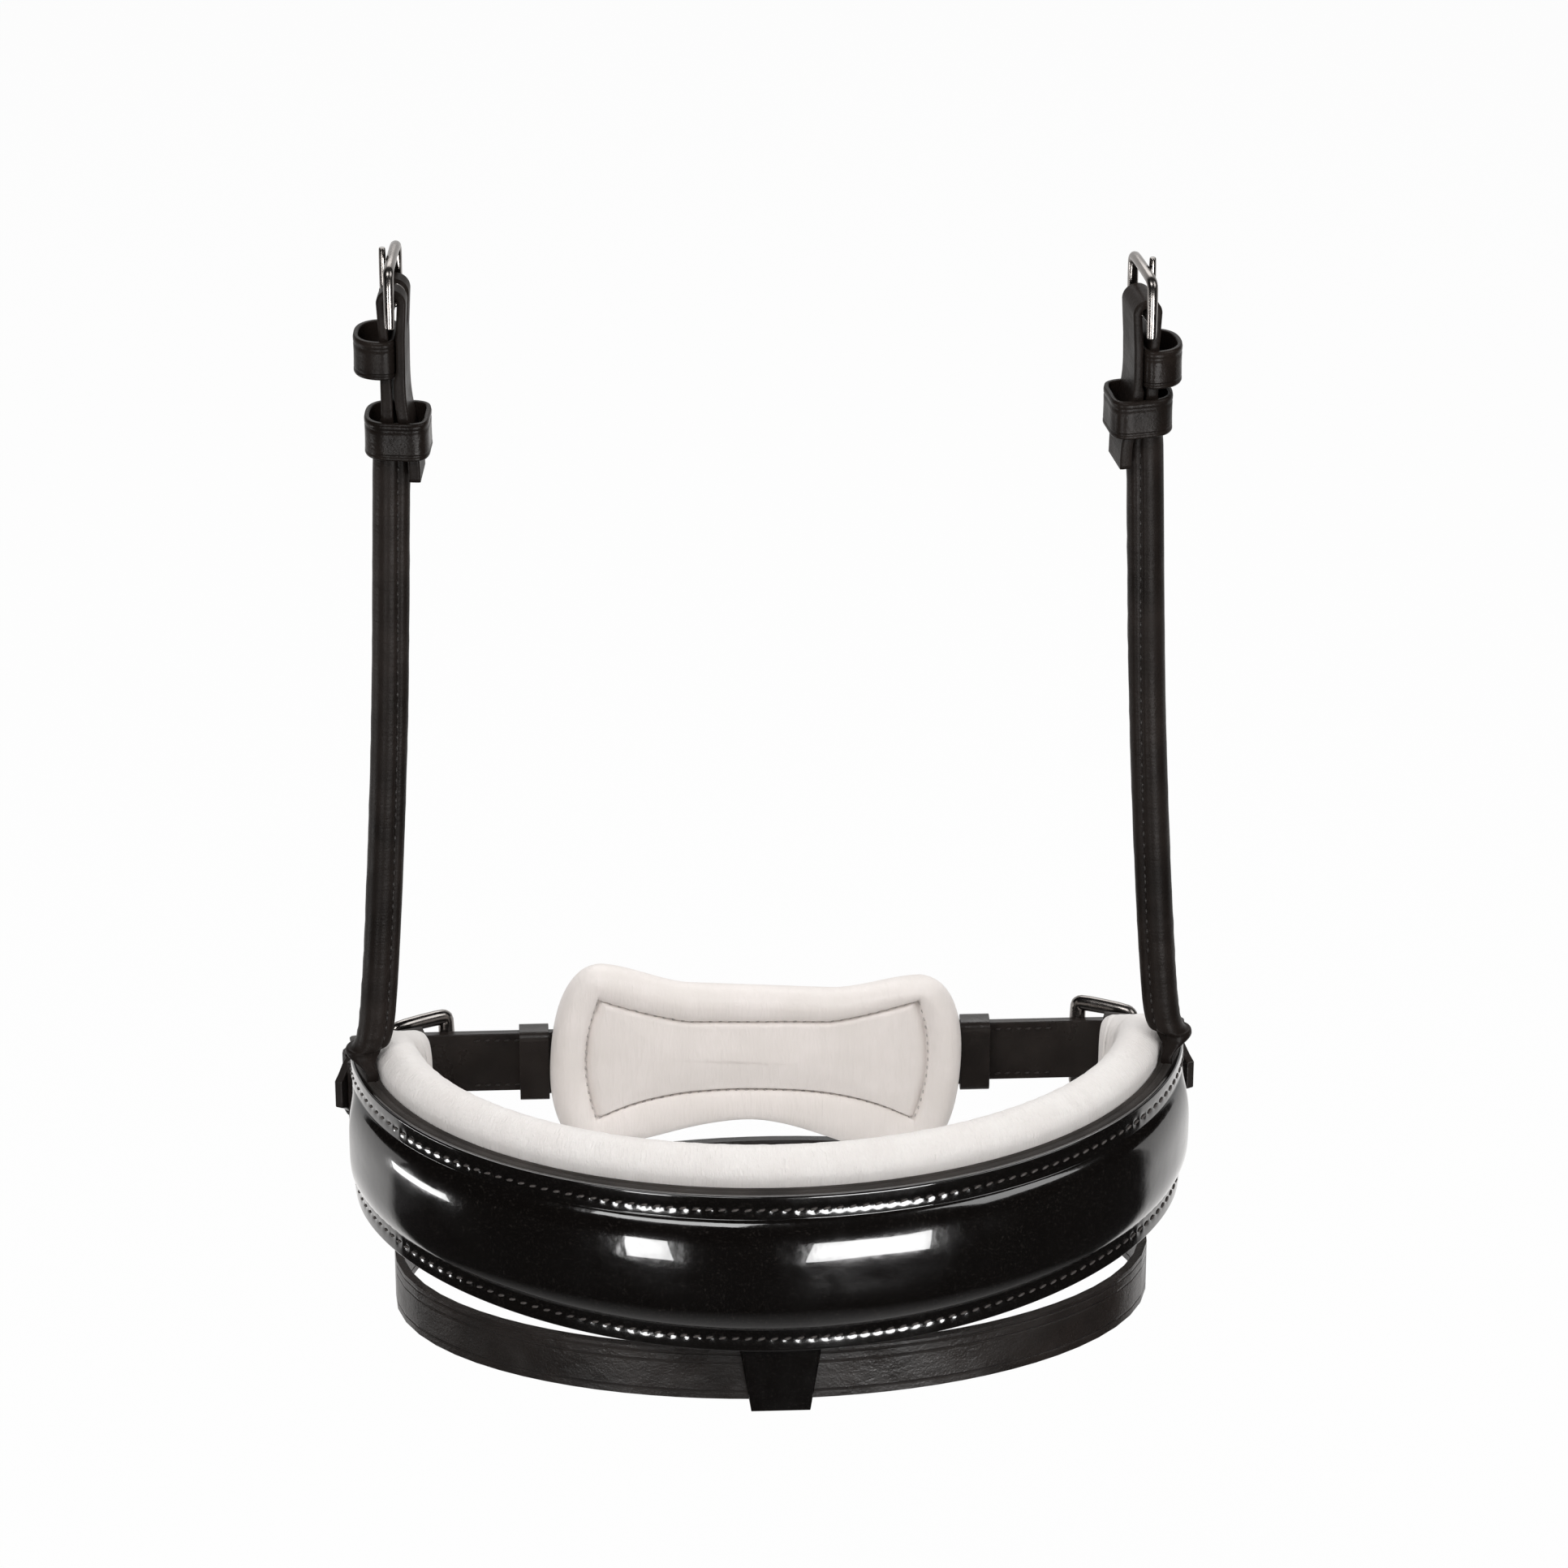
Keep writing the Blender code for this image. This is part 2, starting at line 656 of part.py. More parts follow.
def build_backing():
    """Make the leather backing, with pockets for the cheek straps and the flash loop."""
    outward = (BACKING_FRONT + BACKING_BACK) / 2.0

    def shape(u, v):
        length = spread(NOSE_END, u)
        return raised(NOSE.place(length, outward), blend(nose_bottom(length), nose_top(length), v))

    item = leather("nosepiece_backing", grid_mesh("nosepiece_backing", 46, 1, shape))
    solidify(item, BACKING_THICKNESS)
    depth = STRAP_THICKNESS + 2.0 * GAP
    for side in (-1.0, 1.0):
        axes = nose_axes(side * CHEEK_AT, BACKING_FRONT, CHEEK_FOOT_Z)
        size = (CHEEK_WIDTH + 2.0 * GAP, 2.0 * CHEEK_POCKET_DEPTH, 2.0 * depth)
        centre = (0.0, CHEEK_POCKET_DEPTH - GAP, 0.0)
        cut(item, box_cutter("cheek_pocket", axes, size, centre))
    axes = nose_axes(0.0, LOOP_FRONT, LOOP_TOP_Z)
    size = (LOOP_TOP_WIDTH + 2.0 * GAP, 2.0 * (LOOP_POCKET + GAP), 2.0 * (LOOP_THICKNESS + GAP))
    cut(item, box_cutter("loop_pocket", axes, size, (0.0, 0.0, 0.0)))


def pad_low(length):
    """Return the height of the pad's bottom at a length from the front."""
    share = smooth_step((abs(length) - PAD_ROLL_START) / (PAD_ROLL_FULL - PAD_ROLL_START))
    return nose_bottom(length) - PAD_BOTTOM_ROLL * share


def pad_high(length):
    """Return the height of the pad's top at a length from the front."""
    share = smooth_step((abs(length) - (NOSE_END - NOSE_TAPER_LENGTH)) / NOSE_TAPER_LENGTH)
    return nose_top(length) + blend(PAD_TOP_ROLL, PAD_END_ROLL, share)


def pad_section(length, inset, front):
    """Return the pad's cross-section as (outward, height) points, drawn in by an inset."""
    radius = PAD_THICKNESS / 2.0 - inset
    middle = PAD_FRONT - PAD_THICKNESS / 2.0
    high = pad_high(length) - PAD_THICKNESS / 2.0
    low = pad_low(length) + PAD_THICKNESS / 2.0
    arc = [math.radians(180.0 * step / 6.0) for step in range(7)]
    points = [(middle + radius * math.cos(angle), high + radius * math.sin(angle)) for angle in arc]
    for share in (0.75, 0.5, 0.25):
        swell = PAD_SWELL * 4.0 * share * (1.0 - share)
        points.append((middle - radius - swell, blend(low, high, share)))
    points += [(middle - radius * math.cos(angle), low - radius * math.sin(angle)) for angle in arc]
    if front is not None:
        points[0] = (front, high)
        points[-1] = (front, low)
    points.append((points[0][0], blend(low, high, 0.5)))
    return points


def pad_mesh(name, columns, inset, front):
    """Make the pad's body along the nosepiece, with round blunt ends."""
    end = NOSE_END - inset
    count = len(pad_section(0.0, inset, front))

    def shape(u, v):
        index = round(u * columns)
        tips = (0.0, 1.5 * MM, 5.0 * MM)
        if index < 3:
            length = -end + tips[index]
        elif index > columns - 3:
            length = end - tips[columns - index]
        else:
            length = spread(end - 5.0 * MM, (index - 2) / (columns - 4))
        shrink = (0.62, 0.9, 1.0)[min(index, columns - index, 2)]
        section = pad_section(length, inset, front)
        outward, height = section[round(v * count) % count]
        middle = (pad_low(length) + pad_high(length)) / 2.0
        height = middle + (height - middle) * blend(1.0, shrink, 0.5)
        centre = PAD_FRONT - PAD_THICKNESS / 2.0
        if outward < centre:
            outward = centre + (outward - centre) * shrink
        return raised(NOSE.place(length, outward), height)

    return grid_mesh(name, columns, count, shape, closed=True)


def build_nose_pad():
    """Make the white pad: a cover that is open towards the backing, and the foam in it."""
    cover = link("nose_pad_cover", pad_mesh("nose_pad_cover", 38, 0.0, None), WHITE_LEATHER, 0.5)
    hollow = pad_mesh("nose_pad_hollow", 32, COVER_THICKNESS, PAD_FRONT + 2.0 * COVER_THICKNESS)
    cut(cover, hide_cutter("nose_pad_hollow", hollow))
    foam = pad_mesh("nose_pad_foam", 32, COVER_THICKNESS + 2.0 * GAP, PAD_FRONT)
    link("nose_pad_foam", foam, FOAM, 0.9)


def build_flash_loop():
    """Make the flash loop: a leather ring with one leg that runs up between the layers."""
    front = -LOOP_FRONT
    back = -FLASH_MIDDLE + STRAP_THICKNESS / 2.0 + LOOP_DEPTH_PLAY + LOOP_THICKNESS
    bottom = FLASH_Z - FLASH_WIDTH / 2.0 - LOOP_HEIGHT_PLAY - LOOP_THICKNESS
    leg = front + LOOP_THICKNESS
    outline = [(front, bottom), (back, bottom), (back, LOOP_TOP_Z), (leg, LOOP_TOP_Z),
               (leg, LOOP_TOP_Z + LOOP_POCKET), (front, LOOP_TOP_Z + LOOP_POCKET)]
    window = [(leg, bottom + LOOP_THICKNESS), (back - LOOP_THICKNESS, bottom + LOOP_THICKNESS),
              (back - LOOP_THICKNESS, LOOP_TOP_Z - LOOP_THICKNESS), (leg, LOOP_TOP_Z - LOOP_THICKNESS)]
    mesh = outline_mesh("flash_loop", [outline, window], LOOP_TOP_WIDTH / 2.0)
    for vert in mesh.vertices:
        depth, height, side = vert.co
        share = min(1.0, (height - bottom) / (LOOP_TOP_Z - bottom))
        width = blend(LOOP_BOTTOM_WIDTH / LOOP_TOP_WIDTH, 1.0, share)
        vert.co = Vector((side * width, NOSE_FRONT_Y + depth, height))
    link("flash_loop", mesh, PATENT, 0.1, coat=1.0)


def loft_path(name, places, section, closed_sides):
    """Sweep a section along places, each an origin with its two section axes."""
    last = len(places) - 1

    def shape(u, v):
        index = round(u * last)
        origin, out, across = places[index]
        p, q = section(index)[round(v * closed_sides) % closed_sides]
        return origin + out * p + across * q

    return grid_mesh(name, last, closed_sides, shape, closed=True)


def flat_section():
    """Return a flat strap's section as (outward, across) points."""
    points = []
    for step in range(SECTION_SIDES):
        angle = 2.0 * math.pi * step / SECTION_SIDES
        p = max(-1.0, min(1.0, 4.0 * math.cos(angle))) * STRAP_THICKNESS / 2.0
        q = max(-1.0, min(1.0, 1.09 * math.sin(angle))) * CHEEK_WIDTH / 2.0
        points.append((p, q))
    return points


def rolled_section():
    """Return a rolled strap's section: a round roll with its sewn seam on the inner side."""
    centre = CHEEK_ROLL_SPAN / 2.0 - CHEEK_ROLL_RADIUS
    points = []
    for step in range(SECTION_SIDES):
        angle = 2.0 * math.pi * step / SECTION_SIDES
        if abs(step - SECTION_SIDES // 2) > 1:
            points.append((centre + CHEEK_ROLL_RADIUS * math.cos(angle), CHEEK_ROLL_RADIUS * math.sin(angle)))
        else:
            points.append((-CHEEK_ROLL_SPAN / 2.0, CHEEK_SEAM_THICKNESS / 2.0 * (SECTION_SIDES // 2 - step)))
    return points


def cheek_axes(side, turn):
    """Return a cheek strap's outward and across directions when it is turned by an angle."""
    sign = SIDE_SIGN[side]
    out = Vector((sign * math.cos(turn), math.sin(turn), 0.0))
    across = Vector((-sign * math.sin(turn), math.cos(turn), 0.0))
    return out, across


def cheek_places(side):
    """Return the cheek strap's places from its foot up, round the bar and down to its tip."""
    sign = SIDE_SIGN[side]
    bar = Vector((sign * CHEEK_BAR_X, CHEEK_Y, CHEEK_BAR_Z[side]))
    foot_axes = nose_axes(CHEEK_AT, BACKING_FRONT - GAP - STRAP_THICKNESS / 2.0, CHEEK_FOOT_Z)
    foot = Vector((sign * foot_axes.translation.x, foot_axes.translation.y, CHEEK_FOOT_Z))
    foot_turn = math.atan2(foot_axes[1][2], foot_axes[0][2])
    mouth = Vector((foot.x, foot.y, nose_top(CHEEK_AT) + CHEEK_MOUTH_RISE))
    roots = NOSE.place(CHEEK_AT, CHEEK_NECK_OUT)
    neck_z = nose_top(CHEEK_AT) + CHEEK_NECK_RISE
    rising = [foot, mouth, (sign * roots.x, roots.y, neck_z), (sign * CHEEK_LOW_X, CHEEK_Y, CHEEK_LOW_Z),
              (sign * CHEEK_MID_X, CHEEK_Y, CHEEK_MID_Z), (sign * CHEEK_ROLL_TOP_X, CHEEK_Y, CHEEK_ROLL_TOP_Z)]
    centres = [foot] + smooth_points(rising[1:], 6)
    places = []
    rolls = []
    for centre in centres:
        share = (centre.z - foot.z) / (CHEEK_ROLL_TOP_Z - foot.z)
        turn = blend(foot_turn, CHEEK_TURN[side], smooth_step(share))
        out, across = cheek_axes(side, turn)
        places.append((centre, out, across))
        rolls.append(smooth_step((centre.z - mouth.z) / (neck_z - mouth.z)))
    out, across = cheek_axes(side, CHEEK_TURN[side])
    up = Vector((0.0, 0.0, 1.0))
    for share in (0.33, 0.67, 1.0):
        height = blend(CHEEK_ROLL_TOP_Z, CHEEK_FLAT_Z, share)
        offset = blend(CHEEK_ROLL_TOP_X - CHEEK_BAR_X, PLY_SPREAD, smooth_step(share))
        places.append((Vector((bar.x, bar.y, height)) + out * offset, out, across))
        rolls.append(1.0 - smooth_step(share))
    neck = bar.z - UPPER_KEEPER_DROP + GAP
    places.append((Vector((bar.x, bar.y, neck)) + out * PLY_SPREAD, out, across))
    rolls.append(0.0)
    for step in range(9):
        angle = math.pi * step / 8.0
        thick = out * math.cos(angle) + up * math.sin(angle)
        places.append((bar + thick * FOLD_RADIUS, thick, across))
        rolls.append(0.0)
    inner = -(CHEEK_ROLL_SPAN / 2.0 - (CHEEK_ROLL_TOP_X - CHEEK_BAR_X)) - GAP - STRAP_THICKNESS / 2.0
    for height, offset in ((neck, -PLY_SPREAD), (CHEEK_FLAT_Z + 2.0 * MM, -PLY_SPREAD),
                           (blend(CHEEK_FLAT_Z, CHEEK_ROLL_TOP_Z, 0.5), blend(-PLY_SPREAD, inner, 0.6)),
                           (CHEEK_ROLL_TOP_Z + 3.0 * MM, inner - GAP), (CHEEK_TIP_Z, inner - 2.0 * GAP)):
        places.append((Vector((bar.x, bar.y, height)) + out * offset, -out, across))
        rolls.append(0.0)
    return places, rolls


def cheek_top_axes(side):
    """Return a top buckle's axes: up the strap, across it and outward, about its bar."""
    out, across = cheek_axes(side, CHEEK_TURN[side])
    bar = Vector((SIDE_SIGN[side] * CHEEK_BAR_X, CHEEK_Y, CHEEK_BAR_Z[side]))
    return buckle_axes(bar, Vector((0.0, 0.0, 1.0)), out)


def keeper_ring(name, axes, low_out, high_out, half_across, low_along, high_along,
                bend=KEEPER_BEND, bow=KEEPER_BEND, steps=3):
    """Make a leather keeper round a space given in a buckle's own axes.

    The space's corners bend by one radius on its inner side and bow by another on its outer side.
    """
    outer = round_box(low_out - KEEPER_THICKNESS, high_out + KEEPER_THICKNESS, -half_across - KEEPER_THICKNESS,
                      half_across + KEEPER_THICKNESS, bend + KEEPER_THICKNESS, bow + KEEPER_THICKNESS, steps)
    inner = round_box(low_out, high_out, -half_across, half_across, bend, bow, steps)
    mesh = outline_mesh(name, [outer, inner], (high_along - low_along) / 2.0)
    middle = (low_along + high_along) / 2.0
    for vert in mesh.vertices:
        out, across, along = vert.co
        vert.co = axes @ Vector((along + middle, across, out))
    made = bmesh.new()
    made.from_mesh(mesh)
    bmesh.ops.recalc_face_normals(made, faces=made.faces)
    made.to_mesh(mesh)
    made.free()
    return leather(name, mesh)


def build_cheek(side):
    """Make one cheek strap with its buckle, its fixed keeper and its runner."""
    places, rolls = cheek_places(side)
    flat = flat_section()
    rolled = rolled_section()

    def section(index):
        share = rolls[index]
        return [(blend(a[0], b[0], share), blend(a[1], b[1], share)) for a, b in zip(flat, rolled)]

    name = "cheek_strap_" + side
    item = leather(name, loft_path(name, places, section, SECTION_SIDES))
    axes = cheek_top_axes(side)
    cut_tongue_slot(item, side + "_cheek", axes)
    seat_origin(buckle_frame("top_frame_" + side, axes, TOP_FRAME_LENGTH, TOP_FRAME_HALF_WIDTH, TOP_FRAME_HORN),
                axes.translation)
    seat_origin(buckle_tongue("top_tongue_" + side, axes, TOP_FRAME_LENGTH), axes.translation)
    half = CHEEK_WIDTH / 2.0 + GAP
    leg = KEEPER_THICKNESS / 2.0
    keeper_ring("upper_keeper_" + side, axes, leg, UPPER_KEEPER_REACH - KEEPER_THICKNESS, half,
                -UPPER_KEEPER_DROP - KEEPER_HEIGHT, -UPPER_KEEPER_DROP, bow=UPPER_KEEPER_BOW,
                steps=CHEEK_KEEPER_STEPS)
    low = LOWER_KEEPER_Z[side] - CHEEK_BAR_Z[side]
    outer = CHEEK_ROLL_TOP_X - CHEEK_BAR_X + CHEEK_ROLL_SPAN / 2.0 + GAP
    keeper_ring("lower_keeper_" + side, axes, outer - LOWER_KEEPER_SPAN + 2.0 * KEEPER_THICKNESS, outer, half,
                low, low + KEEPER_HEIGHT, LOWER_KEEPER_BEND, LOWER_KEEPER_BOW, CHEEK_KEEPER_STEPS)


def billet_line(length, under, over, start):
    """Return (along, outward) points of a strap that runs inside the far bar and over the near one."""
    slope = math.asin((under + over) / length)
    points = [(length - under * math.sin(slope * share), -under * math.cos(slope * share))
              for share in (start, blend(start, 1.0, 0.5), 1.0)]
    points += [(over * math.sin(slope * share), over * math.cos(slope * share)) for share in (1.0, 0.5, 0.0)]
    return points


def in_plan(axes, line):
    """Turn (along, outward) points of a buckle's axes into plan points."""
    return [(axes @ Vector((along, 0.0, outward))).xy for along, outward in line]


def fold_line(radius, steps=8):
    """Return (along, outward) points of a half turn round the bar, from the inner side outward."""
    angles = [math.pi * (step / steps - 0.5) for step in range(steps + 1)]
    return [(radius * math.cos(angle), radius * math.sin(angle)) for angle in angles]


def chin_axes(side):
    """Return the axes of a chin buckle about its bar, along pointing past the nosepiece's end."""
    axes = nose_axes(SIDE_SIGN[side] * CHIN_AT, CHIN_BAR_OUT, CHIN_Z)
    along = axes.col[0].xyz * SIDE_SIGN[side]
    return buckle_axes(axes.translation, along, axes.col[2].xyz)


def nose_line(side, backs, outward):
    """Return plan points at distances back from a chin buckle's bar; outward gives their offset."""
    return [NOSE.place(SIDE_SIGN[side] * (CHIN_AT - back), outward(back)) for back in backs]


def build_chape(side, axes):
    """Make the short strap that folds round a chin buckle's bar."""
    def inner(back):
        return blend(CHIN_BAR_OUT - CHAPE_FOLD, CHAPE_INNER, smooth_step(back / CHIN_KEEPER_BACK))

    def outer(back):
        return blend(CHIN_BAR_OUT + CHAPE_FOLD, CHAPE_OUTER, smooth_step(back / CHIN_KEEPER_BACK))

    backs = [CHAPE_LENGTH * step / 7.0 for step in range(1, 8)]
    points = nose_line(side, reversed(backs), inner) + in_plan(axes, fold_line(CHAPE_FOLD))
    points += nose_line(side, backs, outer)
    name = "chin_chape_" + side
    low, high = strip_heights(CHIN_Z, CHIN_WIDTH, plan_length(points))
    item = leather(name, plan_strip(name, points, low, high))
    solidify(item, CHAPE_THICKNESS)
    cut_tongue_slot(item, side + "_chape", axes)


def cut_tongue_slot(item, name, axes):
    """Cut the slot in a strap's fold in which the buckle's tongue swings."""
    size = (TONGUE_SLOT_LENGTH, TONGUE_SLOT_WIDTH, TONGUE_SLOT_DEPTH)
    cut(item, box_cutter("tongue_slot_" + name, axes, size, (-TONGUE_SLOT_BACK, 0.0, 0.0)))


def cut_tongue_hole(item, name, axes, length):
    """Cut the slanting hole through which the tongue passes the strap's tail."""
    size = (length, TONGUE_SLOT_WIDTH, TONGUE_HOLE_HEIGHT)
    centre = (length / 2.0 - TONGUE_HOLE_BACK, 0.0, TONGUE_HOLE_LOW + TONGUE_HOLE_HEIGHT / 2.0)
    cut(item, box_cutter("tongue_hole_" + name, axes, size, centre))


def build_chin_side(side):
    """Make a chin buckle with its chape and keeper, and return the strap's plan points there."""
    axes = chin_axes(side)
    build_chape(side, axes)
    frame = buckle_frame("chin_frame_" + side, axes, CHIN_FRAME_LENGTH, CHIN_FRAME_HALF_WIDTH)
    seat_origin(frame, axes.translation)
    seat_origin(buckle_tongue("chin_tongue_" + side, axes, CHIN_FRAME_LENGTH), axes.translation)
    middle = CHIN_KEEPER_BACK + CHIN_KEEPER_LENGTH / 2.0
    ring = nose_axes(SIDE_SIGN[side] * (CHIN_AT - middle), 0.0, CHIN_Z)
    keeper_ring("chin_keeper_" + side, ring, CHAPE_INNER + CHAPE_THICKNESS / 2.0 + GAP + KEEPER_THICKNESS,
                CHIN_TAIL_OUT + STRAP_THICKNESS / 2.0 + GAP, CHIN_WIDTH / 2.0 + GAP,
                -CHIN_KEEPER_LENGTH / 2.0, CHIN_KEEPER_LENGTH / 2.0)

    def tail(back):
        return blend(CHIN_BAR_OUT + CHAPE_OVER, CHIN_TAIL_OUT, smooth_step(back / CHIN_KEEPER_BACK))

    line = billet_line(CHIN_FRAME_LENGTH, FOLD_RADIUS + GAP / 3.0, CHAPE_OVER, 1.0)[2:]
    backs = [CHIN_TAIL * step / 8.0 for step in range(1, 9)]
    return in_plan(axes, line) + nose_line(side, backs, tail)


def build_chin_strap():
    """Make the chin strap with both its buckles."""
    left = build_chin_side("left")
    right = build_chin_side("right")
    straight = [Vector((right[0].x * step / 6.0, right[0].y)) for step in range(-5, 6)]
    points = list(reversed(left)) + straight + right
    low, high = strip_heights(CHIN_Z, CHIN_WIDTH, plan_length(points), CHIN_TIP, CHIN_TIP)
    item = leather("chin_strap", plan_strip("chin_strap", points, low, high))
    solidify(item, STRAP_THICKNESS)
    for side in SIDE_SIGN:
        cut_tongue_hole(item, side, chin_axes(side), CHIN_FRAME_LENGTH - BAR_RADIUS)
    return right[0].y


def bone_half_height(across, waist, flat):
    """Return the chin pad's height above its middle line: a waist, flat for a length, up to a lobe."""
    reach = abs(across)
    if reach <= CHIN_PAD_LOBE_AT:
        return blend(waist, CHIN_PAD_LOBE, smooth_step((reach - flat) / (CHIN_PAD_LOBE_AT - flat)))
    share = min(1.0, (reach - CHIN_PAD_LOBE_AT) / (CHIN_PAD_HALF_LENGTH - CHIN_PAD_LOBE_AT))
    return CHIN_PAD_LOBE * (1.0 - share ** CHIN_PAD_FULLNESS) ** (1.0 / CHIN_PAD_FULLNESS)


def bone_points(waist, flat):
    """Return a quarter of the chin pad's outline from its middle to its end."""
    points = []
    for step in range(CHIN_PAD_SIDE_STEPS):
        across = CHIN_PAD_LOBE_AT * step / CHIN_PAD_SIDE_STEPS
        points.append((across, bone_half_height(across, waist, flat)))
    for step in range(CHIN_PAD_END_STEPS + 1):
        angle = math.pi / 2.0 * step / CHIN_PAD_END_STEPS
        share = math.sin(angle) ** (2.0 / CHIN_PAD_FULLNESS)
        across = blend(CHIN_PAD_LOBE_AT, CHIN_PAD_HALF_LENGTH, share)
        points.append((across, bone_half_height(across, waist, flat)))
    return points


def bone_outline():
    """Return the chin pad's whole outline as (across, height) points."""
    upper = bone_points(CHIN_PAD_TOP_WAIST, CHIN_PAD_TOP_FLAT)
    lower = bone_points(CHIN_PAD_BOTTOM_WAIST, 0.0)
    right = upper + [(x, -z) for x, z in reversed(lower[:-1])]
    return right + [(-x, z) for x, z in reversed(right[1:-1])]


def tilted(point):
    """Turn an outline's point by the tilt at which the chin pad sits."""
    x, z = point[0], point[1]
    return Vector((x * math.cos(CHIN_PAD_TILT) - z * math.sin(CHIN_PAD_TILT),
                   x * math.sin(CHIN_PAD_TILT) + z * math.cos(CHIN_PAD_TILT)))


def drawn_in(point, inset):
    """Move an outline's point towards the pad's middle line by an inset."""
    spine = max(-CHIN_PAD_SPINE, min(CHIN_PAD_SPINE, point[0]))
    way = Vector((point[0] - spine, point[1]))
    return Vector((spine, 0.0)) + way * (1.0 - inset / way.length)


def chin_profile(wall, back):
    """Return (inset, depth) points of the pad's section, drawn in by a wall, from back to crown."""
    steps = 7
    points = []
    for step in range(steps + 1):
        angle = math.pi * step / steps
        points.append(((CHIN_PAD_ROUND - wall) * (1.0 - math.sin(angle)) + wall,
                       CHIN_PAD_DEPTH / 2.0 - (CHIN_PAD_DEPTH / 2.0 - wall) * math.cos(angle)))
    crown = CHIN_PAD_DEPTH - wall
    if wall > 0.0:
        points[0] = (CHIN_PAD_LIP + wall, wall)
        points.insert(0, (CHIN_PAD_LIP + wall, back))
    points += [(CHIN_PAD_BORDER - CHIN_PAD_SEAM, crown), (CHIN_PAD_BORDER, crown - CHIN_PAD_SEAM),
               (CHIN_PAD_BORDER + CHIN_PAD_SEAM, crown - CHIN_PAD_SEAM / 3.0),
               (CHIN_PAD_BORDER + 3.0 * CHIN_PAD_SEAM, crown)]
    return points


def chin_body(name, wall, back):
    """Make the chin pad's padded body, drawn in by a wall."""
    outline = bone_outline()
    profile = chin_profile(wall, back)
    last = len(profile) - 1

    def shape(u, v):
        inset, depth = profile[round(u * last)]
        point = tilted(drawn_in(outline[round(v * len(outline)) % len(outline)], inset))
        return Vector((CHIN_PAD_X + point.x, CHIN_PAD_BACK_Y - depth, CHIN_PAD_Z + point.y))

    return grid_mesh(name, last, len(outline), shape, closed=True)


def build_chin_pad():
    """Make the chin pad: a cover round foam on a plate that two runners hold to the strap."""
    cover = link("chin_pad_cover", chin_body("chin_pad_cover", 0.0, 0.0), WHITE_LEATHER, 0.5)
    hollow = chin_body("chin_pad_hollow", COVER_THICKNESS, -COVER_THICKNESS)
    cut(cover, hide_cutter("chin_pad_hollow", hollow))
    link("chin_pad_foam", chin_body("chin_pad_foam", COVER_THICKNESS + GAP, 0.0), FOAM, 0.9)
    end = CHIN_PAD_HALF_LENGTH + GAP + CHIN_RUNNER_WIDTH
    half = CHIN_WIDTH / 2.0
    drop = CHIN_Z - CHIN_PAD_Z
    wide = [(x, z) for x, z in (drawn_in(point, CHIN_PAD_LIP) for point in bone_outline()) if abs(z) > half]
    upper = [tilted(point) for point in sorted((point for point in wide if point[1] > 0.0), reverse=True)]
    lower = [tilted(point) for point in sorted(point for point in wide if point[1] < 0.0)]
    neck = CHIN_PAD_HALF_LENGTH
    outline = [(end, drop + half), (neck, drop + half)] + upper + [(-neck, drop + half), (-end, drop + half)]
    outline += [(-end, drop - half), (-neck, drop - half)] + lower + [(neck, drop - half), (end, drop - half)]
    mesh = outline_mesh("chin_pad_plate", [outline], CHIN_PLATE_THICKNESS / 2.0)
    upright = local_axes(Vector((CHIN_PAD_X, CHIN_PLATE_Y, CHIN_PAD_Z)), Vector((1.0, 0.0, 0.0)),
                         Vector((0.0, 0.0, 1.0)), Vector((0.0, -1.0, 0.0)))
    leather("chin_pad_plate", place_mesh(mesh, upright))
    for side, sign in SIDE_SIGN.items():
        middle = CHIN_PAD_X + sign * (end - CHIN_RUNNER_WIDTH / 2.0)
        axes = local_axes(Vector((middle, CHIN_STRAP_Y, CHIN_Z)), Vector((-1.0, 0.0, 0.0)),
                          Vector((0.0, 0.0, 1.0)), Vector((0.0, 1.0, 0.0)))
        inner = CHIN_PLATE_Y - CHIN_STRAP_Y - CHIN_PLATE_THICKNESS / 2.0 - GAP
        keeper_ring("chin_runner_" + side, axes, inner, STRAP_THICKNESS / 2.0 + GAP, half + GAP,
                    -CHIN_RUNNER_WIDTH / 2.0, CHIN_RUNNER_WIDTH / 2.0)


FLASH = flash_route()


def flash_main(length):
    """Return how far outside the ring the flash strap's main ply runs near its buckle."""
    return FOLD_RADIUS * (1.0 - smooth_step(length / FLASH_EASE))


def flash_points():
    """Return the flash strap's plan points from its turned-back end round to its tail's tip."""
    ply = STRAP_THICKNESS + GAP
    axes = flash_axes()
    points = []
    for step in range(6, 0, -1):
        length = FLASH_TURN_BACK * step / 6.0
        outward = blend(-FOLD_RADIUS, flash_main(length) - ply, smooth_step(length / (0.8 * FLASH_TURN_BACK)))
        points.append(FLASH.place(length, outward))
    points += in_plan(axes, fold_line(FOLD_RADIUS))
    near = [FLASH_EASE * step / 9.0 for step in range(1, 10)]
    points += [FLASH.place(length, flash_main(length)) for length in near]
    start = FLASH_EASE
    end = FLASH.total - FLASH_FRAME_LENGTH - FLASH_EASE
    points += [FLASH.place(blend(start, end, step / 62.0), 0.0) for step in range(1, 63)]
    for step in range(1, 7):
        length = blend(end, FLASH.total - FLASH_BUCKLE_NEAR, step / 6.0)
        points.append(FLASH.place(length, -FLASH_DIP * smooth_step(step / 6.0)))
    points += in_plan(axes, billet_line(FLASH_FRAME_LENGTH, FOLD_RADIUS + GAP / 3.0, OVER_FOLD, FLASH_BILLET_START))
    for step in range(1, 15):
        length = FLASH_TAIL * step / 14.0
        points.append(FLASH.place(length, flash_main(length) + ply))
    return points


